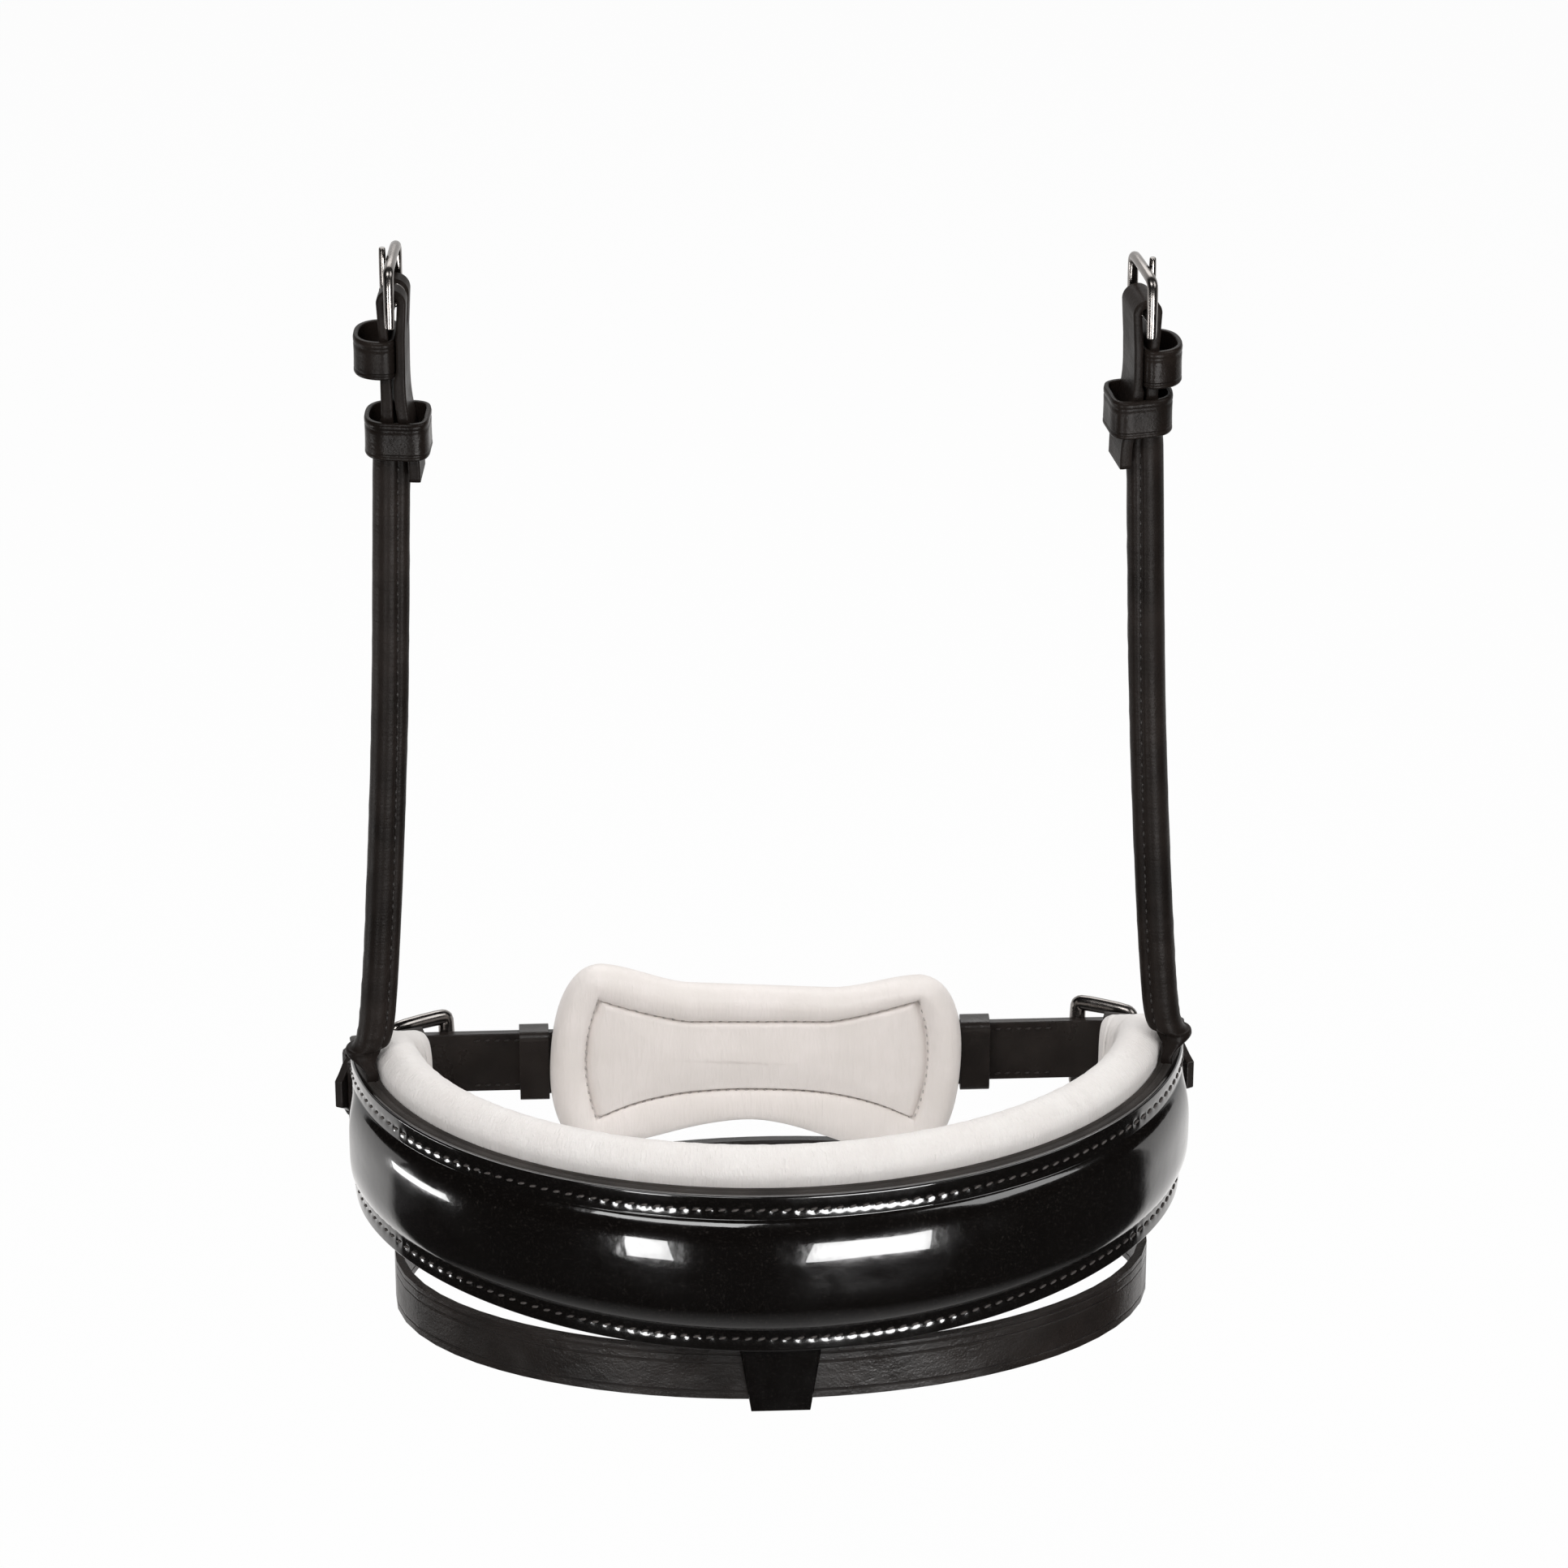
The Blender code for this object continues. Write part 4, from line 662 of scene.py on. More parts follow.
@dataclass
class Assembly:
    """What every sub-assembly shares: the loaded frame, the materials and ways to make a piece."""

    frame: dict
    materials: dict[str, tuple[Material, str]]
    weld: ClassVar[float] = 0.01 * MM
    flat_angle: ClassVar[float] = radians(0.6)
    face_angle: ClassVar[float] = radians(25.0)
    shape_angle: ClassVar[float] = radians(60.0)
    sharp_angles: ClassVar[Pair] = (radians(38.0), radians(60.0))
    stitch_height: ClassVar[float] = 0.45

    def dress(self, piece: Object, finish: str, body: str, *nodes: str) -> Object:
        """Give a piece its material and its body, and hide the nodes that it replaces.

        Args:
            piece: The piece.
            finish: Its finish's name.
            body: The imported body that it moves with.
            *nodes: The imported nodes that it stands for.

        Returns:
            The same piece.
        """
        material, slot = self.materials[finish]
        piece.data.materials.clear()
        piece.data.materials.append(material)
        if nodes:
            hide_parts(*nodes)
        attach(piece, body)
        LOG.info("%s rides on %s", piece.name, body)
        return piece

    def copy(self, node: str, name: str, finish: str, body: str, bevel: float, levels: int = 0,
             swell: float = 0.0) -> Object:
        """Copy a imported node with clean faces, softened edges and, if asked, rounder curves.

        Args:
            node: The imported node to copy.
            name: The new piece's name.
            finish: Its finish's name.
            body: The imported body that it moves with.
            bevel: The width of the softened edges, or 0 for none.
            levels: Subdivision levels that round the shape.
            swell: How far the surface moves out along its normals.

        Returns:
            The new object, dressed, which stands for the node.
        """
        work = bmesh.new()
        work.from_mesh(self.frame["nodes"][node].data)
        bmesh.ops.remove_doubles(work, verts=work.verts, dist=self.weld)
        bmesh.ops.dissolve_limit(work, angle_limit=self.flat_angle, verts=work.verts, edges=work.edges)
        loose = [face for face in work.faces if len(face.verts) == 3]
        bmesh.ops.join_triangles(work, faces=loose, angle_face_threshold=self.face_angle,
                                 angle_shape_threshold=self.shape_angle)
        for vert in work.verts:
            vert.co += vert.normal * swell
        if bevel > 0.0:
            limit = self.sharp_angles[1 if levels else 0]
            sharp = [edge for edge in work.edges
                     if len(edge.link_faces) == 2 and edge.calc_face_angle(0.0) > limit]
            bmesh.ops.bevel(work, geom=sharp, offset=bevel, offset_type="OFFSET",
                            segments=2 if levels else 3, profile=0.5, affect="EDGES", material=-1,
                            clamp_overlap=True)
        made = new_piece(name, work)
        if levels:
            rounder = made.modifiers.new("rounder", "SUBSURF")
            rounder.levels = levels
            rounder.render_levels = levels
        else:
            made.modifiers.new("even shading", "WEIGHTED_NORMAL").keep_sharp = True
        return self.dress(made, finish, body, node)

    def buckle(self, kind: str, side: str, bevels: Pair, swells: Pair) -> Object:
        """Copy a buckle's frame and its tongue, each on its own body.

        Args:
            kind: Where the buckle sits, as its nodes' names begin.
            side: How its nodes' names end.
            bevels: The frame's and the tongue's softened edges.
            swells: How far the frame's and the tongue's surfaces move out.

        Returns:
            The frame.
        """
        parts = (("frame", "wire", "buckle"), ("tongue", "pin", "prong"))
        frame, _ = (self.copy(kind + node + side, kind + name + side, "polished_gunmetal",
                              kind + body + side, bevel, 1, swell)
                    for (node, name, body), bevel, swell in zip(parts, bevels, swells))
        return frame

    def stitch(self, name: str, finish: str, body: str, spots: Sequence[Place], size: Pair,
               slant: float = 0.0) -> None:
        """Lay a row of raised stitches.

        Args:
            name: The piece's name.
            finish: Its finish's name.
            body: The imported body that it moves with.
            spots: For each stitch its middle, the row's direction and the surface's normal.
            size: One stitch's length and width.
            slant: How far each stitch turns from the row, in radians.
        """
        length, width = size
        work = bmesh.new()
        for middle, along, normal in spots:
            across = normal.cross(along).normalized()
            heading = (along * cos(slant) + across * sin(slant)).normalized()
            side = normal.cross(heading).normalized()
            axes = Matrix((heading * length / 2.0, side * width / 2.0,
                           normal * width * self.stitch_height))
            axes = axes.transposed().to_4x4()
            axes.translation = middle
            bmesh.ops.create_icosphere(work, subdivisions=1, radius=1.0, matrix=axes)
        bmesh.ops.recalc_face_normals(work, faces=work.faces)
        self.dress(new_piece(name, work), finish, body)


# The nosepiece


@dataclass
class NoseCurve:
    """The plan curve of the nosepiece's outer face and the heights of its edges."""

    half_width: float = 118.5 * MM
    reach: float = 88.0 * MM
    corner: float = 24.0 * MM
    corner_sweep: float = radians(80.0)
    front_y: float = -60.0 * MM
    middle_z: float = 47.0 * MM
    half_height: float = 25.0 * MM
    side_lift: float = 5.0 * MM
    end_drop: float = 7.0 * MM
    end_lift: float = 7.0 * MM
    taper: float = 55.0 * MM
    arc_steps: int = 220
    corner_steps: int = 55
    points: list[Vector] = field(default_factory=list)
    lengths: list[float] = field(default_factory=list)

    def __post_init__(self) -> None:
        """Lay out the curve from the middle of the front to the right end."""
        centre_y = self.front_y + self.reach
        for share in shares(self.arc_steps):
            angle = pi / 2.0 * share
            self.points.append(Vector((self.half_width * sin(angle), centre_y - self.reach * cos(angle))))
        for share in shares(self.corner_steps)[1:]:
            angle = self.corner_sweep * share
            self.points.append(Vector((self.half_width - self.corner + self.corner * cos(angle),
                                       centre_y + self.corner * sin(angle))))
        self.lengths = running_lengths(self.points)

    @property
    def end(self) -> float:
        """Return the length from the middle of the front to one end."""
        return self.lengths[-1]

    def frame(self, length: float) -> Place:
        """Return the plan point, the direction along the curve and the outward normal.

        Args:
            length: The signed length from the middle of the front.

        Returns:
            The point at height 0, the direction to the right and the outward direction.
        """
        last = len(self.points) - 1
        index = min(max(bisect_left(self.lengths, abs(length)), 1), last)
        start = self.points[index - 1]
        tangent = (self.points[index] - start).normalized()
        broad = (self.points[min(index + 1, last)] - self.points[max(index - 2, 0)]).normalized()
        point = start + tangent * (abs(length) - self.lengths[index - 1])
        side = copysign(1.0, length)
        return (Vector((side * point.x, point.y, 0.0)), Vector((broad.x, side * broad.y, 0.0)),
                Vector((side * broad.y, -broad.x, 0.0)))

    def place(self, length: float, outward: float, height: float) -> Vector:
        """Return the point at a length, a distance outside the curve and a height."""
        point, _, out = self.frame(length)
        return point + out * outward + UP * height

    def ending(self, length: float) -> float:
        """Return how far a length lies into the taper of an end, from 0 to 1."""
        return smooth_step((abs(length) - (self.end - self.taper)) / self.taper)

    def top(self, length: float) -> float:
        """Return the height of the nosepiece's top edge."""
        return self.middle_z + self.half_height - self.end_drop * self.ending(length)

    def bottom(self, length: float) -> float:
        """Measure the nosepiece's bottom edge.

        Args:
            length: The signed length from the middle of the front.

        Returns:
            The edge's height.
        """
        side = smooth_step(abs(length) / (self.end - self.taper))
        lift = self.side_lift * side + self.end_lift * self.ending(length)
        return self.middle_z - self.half_height + lift


@dataclass
class Nosepiece(Assembly):
    """The bent nosepiece: glossy face, leather backing, white padding and the stitches."""

    curve: NoseCurve = field(default_factory=NoseCurve)
    face_thickness: float = 1.2 * MM
    margin: float = 7.2 * MM
    crown: float = 4.6 * MM
    side_crown: float = 3.0 * MM
    face_end_back: float = 33.0 * MM
    edge_round: float = 0.45 * MM
    edge_shares: tuple[float, ...] = (0.0, 0.12, 0.35, 0.7, 1.15)
    margin_shares: tuple[float, ...] = (0.14, 0.24, 0.34, 0.42, 0.5, 0.56, 0.62, 0.7, 0.78, 0.88, 0.96)
    crown_steps: int = 30
    crown_fade: float = 1.6
    crown_powers: Pair = (3.0, 0.7)
    pucker_shares: Pair = (0.7, 0.3)
    face_wave: float = 0.05 * MM
    wave_slant: float = 0.4
    wave_turn: float = 90.0
    wave_pitches: Triple = (31.0 * MM, 47.0 * MM, 83.0 * MM)
    stitch_inset: float = 4.2 * MM
    stitch_pitch: float = 3.6 * MM
    stitch_size: Pair = (2.5 * MM, 0.85 * MM)
    stitch_slant: float = radians(16.0)
    stitch_margin: float = 2.5 * MM
    stitch_sink: float = 0.062 * MM
    groove: float = 0.28 * MM
    groove_width: float = 1.1 * MM
    backing_front: float = -1.5 * MM
    backing_back: float = -5.4 * MM
    backing_edge: tuple[Pair, ...] = (
        (0.0, 0.5), (0.1, 0.12), (0.3, 0.0), (0.52, 0.06), (0.58, 0.32), (0.64, 0.06), (0.85, 0.0),
        (0.96, 0.14), (1.0, 0.5))
    ear_at: float = 8.0 * MM
    ear_height: float = 7.0 * MM
    ear_half: float = 11.0 * MM
    ear_flare: float = 1.6 * MM
    ear_root: float = 3.0 * MM
    ear_power: int = 4
    cheek_y: float = 12.0 * MM
    halvings: int = 40
    pad_front: float = -5.7 * MM
    pad_thickness: float = 13.0 * MM
    pad_top_roll: float = 8.5 * MM
    pad_end_roll: float = 4.0 * MM
    pad_bottom_roll: float = 5.0 * MM
    pad_drop: Pair = (18.0 * MM, 42.0 * MM)
    pad_swell: float = 1.2 * MM
    pad_wrinkle: float = 0.16 * MM
    pad_pitches: Triple = (4.2 * MM, 6.3 * MM, 10.1 * MM)
    pad_turn: float = 60.0
    pad_front_shares: Triple = (0.25, 0.5, 0.75)
    pad_round_steps: int = 14
    pad_back_steps: int = 10
    tip: float = 6.0 * MM
    tip_steps: int = 9
    tip_shrink: float = 0.62
    tip_droop: float = 0.45
    loop_bevel: float = 0.8 * MM
    face_girth: float = 0.12
    pad_girth: float = 0.16
    face_columns: int = 540
    backing_columns: int = 320
    pad_columns: int = 300

    @property
    def face_end(self) -> float:
        """Return the length at which the glossy face ends."""
        return self.curve.end - self.face_end_back

    def build(self) -> None:
        """Build every piece of the nosepiece."""
        self.build_face()
        self.build_stitches()
        self.build_backing()
        self.build_pad()
        self.copy("flash_loop", "patent_loop", "patent_leather", "nosepiece", self.loop_bevel)

    @staticmethod
    def sweep(section: Callable[[float], list[Vector]], end: float, columns: int) -> list[list[Vector]]:
        """Return a section at even lengths from one end to the other."""
        return [section(end * (2.0 * share - 1.0)) for share in shares(columns)]

    def crown_at(self, length: float, height: float, whole: float) -> float:
        """Return how far the face stands out at a height above its bottom edge.

        Args:
            length: The signed length from the middle of the front.
            height: The height above the bottom edge.
            whole: The face's whole height there.

        Returns:
            The distance outside the margins.
        """
        across = abs(height - whole / 2.0) / (whole / 2.0 - self.margin)
        if across >= 1.0:
            return 0.0
        top = mix(self.crown, self.side_crown, smooth_step(abs(length) / self.face_end))
        fade = self.crown_fade * self.margin
        ending = smooth_step((self.face_end - self.margin - abs(length)) / fade)
        inner, outer = self.crown_powers
        return top * ending * (1.0 - across ** inner) ** outer

    def pucker(self, length: float, away: float) -> float:
        """Measure how deep the stitches pull the face in.

        Args:
            length: The signed length from the middle of the front.
            away: The distance from the nearer edge.

        Returns:
            The depth.
        """
        near = exp(-((away - self.stitch_inset) / self.groove_width) ** 2)
        deep, shift = self.pucker_shares
        return self.groove * near * (deep - shift * cos(TURN * length / self.stitch_pitch))

    def face_section(self, length: float) -> list[Vector]:
        """Lay out the face's closed section.

        Args:
            length: The signed length from the middle of the front.

        Returns:
            Its points, from the bottom edge up and back down.
        """
        low = self.curve.bottom(length)
        whole = self.curve.top(length) - low
        rim = [self.edge_round * share for share in self.edge_shares]
        rim += [self.margin * share for share in self.margin_shares]
        middle = [mix(self.margin, whole - self.margin, 0.5 - 0.5 * cos(pi * share))
                  for share in shares(self.crown_steps)]
        section = []
        for height in rim + middle + [whole - item for item in reversed(rim)]:
            away = min(height, whole - height)
            bend = max(0.0, 1.0 - away / self.edge_round)
            crown = self.crown_at(length, height, whole)
            wave = self.face_wave * waves(length + self.wave_slant * height, self.wave_pitches,
                                          height * self.wave_turn)
            outward = (crown - self.edge_round * (1.0 - sqrt(1.0 - bend ** 2)) - self.pucker(length, away)
                       + wave * min(1.0, crown / MM))
            section.append(self.curve.place(length, outward, low + height))
        return section + [self.curve.place(length, -self.face_thickness, low + whole * share)
                          for share in (1.0, 0.5, 0.0)]

    def build_face(self) -> None:
        """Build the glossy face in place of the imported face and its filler."""
        rings = self.sweep(self.face_section, self.face_end, self.face_columns)
        piece = loft("patent_face", rings, (2.0 * self.face_end, self.face_girth))
        self.dress(piece, "patent_leather", "nosepiece", "nosepiece_face", "crown_filler")

    def build_stitches(self) -> None:
        """Lay the two stitch rows along the face's margins."""
        count = int(2.0 * (self.face_end - self.stitch_margin) / self.stitch_pitch)
        lengths = [(step - count / 2.0) * self.stitch_pitch for step in range(count + 1)]
        for name, edge, inset in (("top_stitches", self.curve.top, -self.stitch_inset),
                                  ("bottom_stitches", self.curve.bottom, self.stitch_inset)):
            spots = [(self.curve.place(length, -self.stitch_sink, edge(length) + inset),
                      *self.curve.frame(length)[1:]) for length in lengths]
            self.stitch(name, "face_thread", "nosepiece", spots, self.stitch_size, self.stitch_slant)

    @cached_property
    def cheek(self) -> float:
        """Find by halving where a cheek strap enters the nosepiece.

        Returns:
            The length from the middle of the front.
        """
        low, high = 0.0, self.curve.end
        for _ in range(self.halvings):
            middle = (low + high) / 2.0
            if self.curve.frame(middle)[0].y < self.cheek_y:
                low = middle
            else:
                high = middle
        return middle

    def backing_section(self, length: float) -> list[Vector]:
        """Lay out the backing's closed section: two plies with a fine groove between them.

        Args:
            length: The signed length from the middle of the front.

        Returns:
            Its points.
        """
        low, top = self.curve.bottom(length), self.curve.top(length)
        ear = exp(-((abs(length) - self.cheek - self.ear_at) / self.ear_half) ** self.ear_power)
        high = top + self.ear_height * ear
        outer = self.backing_front + self.ear_flare * ear
        flare = top - self.ear_root
        flat = [(mix(outer, self.backing_back, deep), high - sink * MM)
                for deep, sink in self.backing_edge]
        flat.append((self.backing_back, mix(low, high, 0.5)))
        flat += [(mix(self.backing_front, self.backing_back, deep), low + sink * MM)
                 for deep, sink in reversed(self.backing_edge)]
        flat += [(self.backing_front, mix(low, flare, 0.5)), (self.backing_front, flare)]
        return [self.curve.place(length, outward, height) for outward, height in flat]

    def build_backing(self) -> None:
        """Build the leather backing with its raised ears beside the cheek straps."""
        rings = self.sweep(self.backing_section, self.curve.end, self.backing_columns)
        piece = loft("backing_plies", rings, (2.0 * self.curve.end, self.face_girth))
        self.dress(piece, "edge_leather", "nosepiece", "nosepiece_backing")

    def pad_section(self, length: float, shrink: float = 1.0) -> list[Vector]:
        """Lay out the pad's closed section.

        Args:
            length: The signed length from the middle of the front.
            shrink: The share that is left of its depth, which draws it in near its ends.

        Returns:
            Its points.
        """
        start, reach = self.pad_drop
        drop = smooth_step((abs(length) - start) / reach)
        bottom = self.curve.bottom(length) - self.pad_bottom_roll * drop
        roll = mix(self.pad_top_roll, self.pad_end_roll, self.curve.ending(length))
        top = self.curve.top(length) + roll
        radius = self.pad_thickness / 2.0
        centre = self.pad_front - radius
        high, low, middle = top - radius, bottom + radius, (bottom + top) / 2.0
        arc = [pi * share for share in shares(self.pad_round_steps)]
        flat = [(centre + radius * cos(angle), high + radius * sin(angle)) for angle in arc]
        for share in shares(self.pad_back_steps)[-2:0:-1]:
            swell = self.pad_swell * 4.0 * share * (1.0 - share)
            flat.append((centre - radius - swell, mix(low, high, share)))
        flat += [(centre - radius * cos(angle), low - radius * sin(angle)) for angle in arc]
        flat += [(self.pad_front, mix(low, high, share)) for share in self.pad_front_shares]
        section = []
        for outward, height in flat:
            ease = centre + (outward - centre) * shrink if outward < centre else outward
            if outward < self.pad_front:
                ease -= self.pad_wrinkle * waves(length, self.pad_pitches, height * self.pad_turn)
            lowered = middle + (height - middle) * mix(1.0, shrink, self.tip_droop)
            section.append(self.curve.place(length, ease, lowered))
        return section

    def build_pad(self) -> None:
        """Build the white pad with its round blunt ends."""
        end = self.curve.end
        tips = [(end - self.tip * (1.0 - cos(turn)), mix(self.tip_shrink, 1.0, sin(turn)))
                for turn in (pi / 2.0 * share for share in shares(self.tip_steps)[:-1])]
        rings = [self.pad_section(-length, shrink) for length, shrink in tips]
        rings += self.sweep(self.pad_section, end - self.tip, self.pad_columns)
        rings += [self.pad_section(length, shrink) for length, shrink in reversed(tips)]
        piece = loft("white_nose_pad", rings, (2.0 * end, self.pad_girth))
        self.dress(piece, "white_leather", "nosepiece", "nose_pad_cover", "nose_pad_foam")


# The chin pad


@dataclass(frozen=True)
class Edge:
    """The chin pad's upper or lower edge, with the edge of the panel beside it."""

    waist: float
    flat: float
    panel: float
    power: float


@dataclass
class ChinPad(Assembly):
    """The white bone-shaped pad that slides on the chin strap, with its sewn inner panel."""

    centre: Vector = field(default_factory=lambda: Vector((-2.5, 53.0, 52.5)) * MM)
    tilt: float = radians(-4.0)
    half_length: float = 59.2 * MM
    lobe: float = 29.3 * MM
    lobe_at: float = 46.0 * MM
    fullness: float = 2.3
    top: Edge = Edge(24.4 * MM, 20.0 * MM, 12.9 * MM, 1.3)
    bottom: Edge = Edge(18.6 * MM, 0.0, 10.0 * MM, 2.6)
    depth: float = 11.5 * MM
    panel_corner: Vector = field(default_factory=lambda: Vector((46.0, 19.9)) * MM)
    panel_bulge: float = 3.4 * MM
    panel_shift: Vector = field(default_factory=lambda: Vector((0.0, 2.4)) * MM)
    panel_turn: float = radians(2.5)
    panel_rise: float = 1.2 * MM
    seam: float = 2.1 * MM
    hole_pitch: float = 2.7 * MM
    stitch_size: Pair = (1.5 * MM, 0.75 * MM)
    stitch_slant: float = radians(20.0)
    stitch_rise: float = 0.2 * MM
    unevenness: float = 0.13 * MM
    wave_pitches: Triple = (19.0 * MM, 31.0 * MM, 47.0 * MM)
    wave_turn: float = 60.0
    front_share: float = 0.6
    pucker: float = 0.22 * MM
    plate_bevel: float = 0.3 * MM
    runner_bevel: float = 0.7 * MM
    uv_size: Pair = (0.09, 0.33)
    side_steps: int = 30
    cap_steps: int = 26
    roll_steps: int = 16
    back_share: float = 0.75
    roll_share: float = 0.62
    roll_ends: Pair = (0.9, 0.78)
    back_gap: float = 0.02 * MM
    seam_floor: float = 0.3 * MM
    panel_gap: float = 0.15 * MM
    seam_reach: float = 0.1
    rise_reach: float = 0.9
    dip_reach: float = 0.05
    inner_share: float = 0.5
    border: tuple[Pair, ...] = (
        (0.62, 0.06), (0.72, 0.14), (0.81, 0.28), (0.88, 0.46), (0.93, 0.63), (0.965, 0.8), (0.988, 0.93))
    panel_shares: tuple[float, ...] = (0.012, 0.03, 0.06, 0.11, 0.18, 0.28, 0.42, 0.6, 0.8, 0.98)

    def half_height(self, across: float, edge: Edge) -> float:
        """Measure the pad from its middle line.

        Args:
            across: The distance from its middle.
            edge: Its upper or lower edge.

        Returns:
            Its height above or below the middle line.
        """
        if across <= self.lobe_at:
            share = smooth_step((across - edge.flat) / (self.lobe_at - edge.flat))
            return mix(edge.waist, self.lobe, share)
        share = min(1.0, (across - self.lobe_at) / (self.half_length - self.lobe_at))
        return self.lobe * (1.0 - share ** self.fullness) ** (1.0 / self.fullness)

    def quarter(self, edge: Edge) -> Outline:
        """Lay out a quarter of the outline.

        Args:
            edge: The upper or lower edge.

        Returns:
            The outline's points, each with the panel's point that belongs to it.
        """
        points = []
        for share in shares(self.side_steps)[:-1]:
            across = self.lobe_at * share
            climb = max(0.0, (across - edge.flat) / (self.lobe_at - edge.flat)) ** edge.power
            panel = Vector((self.panel_corner.x * share, mix(edge.panel, self.panel_corner.y, climb)))
            points.append((Vector((across, self.half_height(across, edge))), panel))
        for share in shares(self.cap_steps):
            left = 1.0 - share
            across = mix(self.lobe_at, self.half_length, sin(pi / 2.0 * share) ** (2.0 / self.fullness))
            panel = Vector((self.panel_corner.x + self.panel_bulge * (1.0 - left ** 2),
                            self.panel_corner.y * left))
            points.append((Vector((across, self.half_height(across, edge))), panel))
        return points

    def outline(self) -> Outline:
        """Lay out the whole outline.

        Returns:
            Its points, each with the panel's point, turned and moved as the panel is sewn in.
        """
        down, left = Vector((1.0, -1.0)), Vector((-1.0, 1.0))
        below = reversed(self.quarter(self.bottom)[:-1])
        half = self.quarter(self.top) + [(a * down, b * down) for a, b in below]
        whole = half + [(a * left, b * left) for a, b in reversed(half[1:-1])]
        turn = Matrix.Rotation(self.panel_turn, 2)
        return [(a, turn @ b + self.panel_shift) for a, b in whole]

    def at(self, across: float, height: float, depth: float) -> Vector:
        """Place a point of the pad.

        Args:
            across: The distance from its middle, along it.
            height: The distance from its middle line.
            depth: The distance from its back.

        Returns:
            The point in the frame's own metres.
        """
        turn, side = cos(self.tilt), sin(self.tilt)
        return self.centre + Vector((across * turn - height * side, -depth,
                                     across * side + height * turn))

    def ring(self, outline: Outline, share: float, depth: float, inner: float = 0.0,
             dip: float = 0.0) -> list[Vector]:
        """Return one ring of the pad's surface.

        Args:
            outline: The outline's and the panel's points.
            share: How far the ring lies from the outline towards the panel's edge.
            depth: The height above the pad's back.
            inner: How far it lies from the panel's edge towards the pad's middle line.
            dip: How strongly the stitches pull it in.

        Returns:
            The ring's points.
        """
        made = []
        for rim, panel in outline:
            place = mix(rim, panel, share)
            place = mix(place, Vector((place.x * self.inner_share, self.panel_shift.y)), inner)
            relief = 0.0
            if depth > self.front_share * self.depth:
                relief = self.unevenness * waves(place.x, self.wave_pitches, place.y * self.wave_turn)
                relief += dip * self.pucker * sin(TURN * place.x / self.hole_pitch)
            made.append(self.at(place.x, place.y, depth + relief))
        return made

    def build(self) -> None:
        """Build the pad, its stitches, its plate and its runners."""
        outline = self.outline()
        rings = [self.ring(outline, self.back_share, 0.0)]
        for way in shares(self.roll_steps):
            share = self.roll_share * (1.0 - sin(pi * way)) * self.roll_ends[0 if way < 0.5 else 1]
            depth = self.depth / 2.0 * (1.0 - cos(pi * way)) - self.back_gap
            rings.append(self.ring(outline, share, depth))
        for share, sink in self.border:
            rings.append(self.ring(outline, share, self.depth - sink * self.seam, dip=share ** 3))
        rings.append(self.ring(outline, 1.0, self.depth - self.seam - self.seam_floor, dip=1.0))
        for inner in self.panel_shares:
            rise = (self.seam * (1.0 - smooth_step(inner / self.seam_reach))
                    + self.panel_rise * (1.0 - smooth_step(inner / self.rise_reach)))
            rings.append(self.ring(outline, 1.0, self.depth - self.panel_gap - rise, inner,
                                   max(0.0, 1.0 - inner / self.dip_reach)))
        piece = loft("white_chin_pad", rings, self.uv_size)
        self.dress(piece, "white_panel_leather", "chin_pad", "chin_pad_cover", "chin_pad_foam")
        self.build_stitches([panel for _, panel in outline])
        self.copy("chin_pad_plate", "chin_pad_back", "strap_leather", "chin_pad", self.plate_bevel)
        for side in Side:
            self.copy("chin_runner_" + side.value, "chin_loop_" + side.value, "strap_leather", "chin_pad",
                      self.runner_bevel)

    def build_stitches(self, edge: Sequence[Vector]) -> None:
        """Sew the panel's four sides down with small sunk stitches from corner to corner.

        Args:
            edge: The panel's edge, all the way round.
        """
        first, whole = self.side_steps, len(edge)
        corners = [first, first + 2 * self.cap_steps]
        corners += [whole - corner for corner in reversed(corners)] + [first + whole]
        depth = self.depth - self.seam - self.stitch_rise
        spots = []
        for begin, finish in zip(corners, corners[1:]):
            side = [edge[index % whole] for index in range(begin, finish + 1)]
            lengths = running_lengths(side)
            count = round(lengths[-1] / self.hole_pitch)
            for number in range(count):
                goal = lengths[-1] * (number + 0.5) / count
                index = bisect_left(lengths, goal) - 1
                share = (goal - lengths[index]) / (lengths[index + 1] - lengths[index])
                middle = side[index].lerp(side[index + 1], share)
                heading = self.at(*side[index + 1], depth) - self.at(*side[index], depth)
                spots.append((self.at(*middle, depth), heading.normalized(), FRONT))
        self.stitch("chin_pad_stitches", "white_thread", "chin_pad", spots, self.stitch_size,
                    self.stitch_slant)


# Straps and buckles


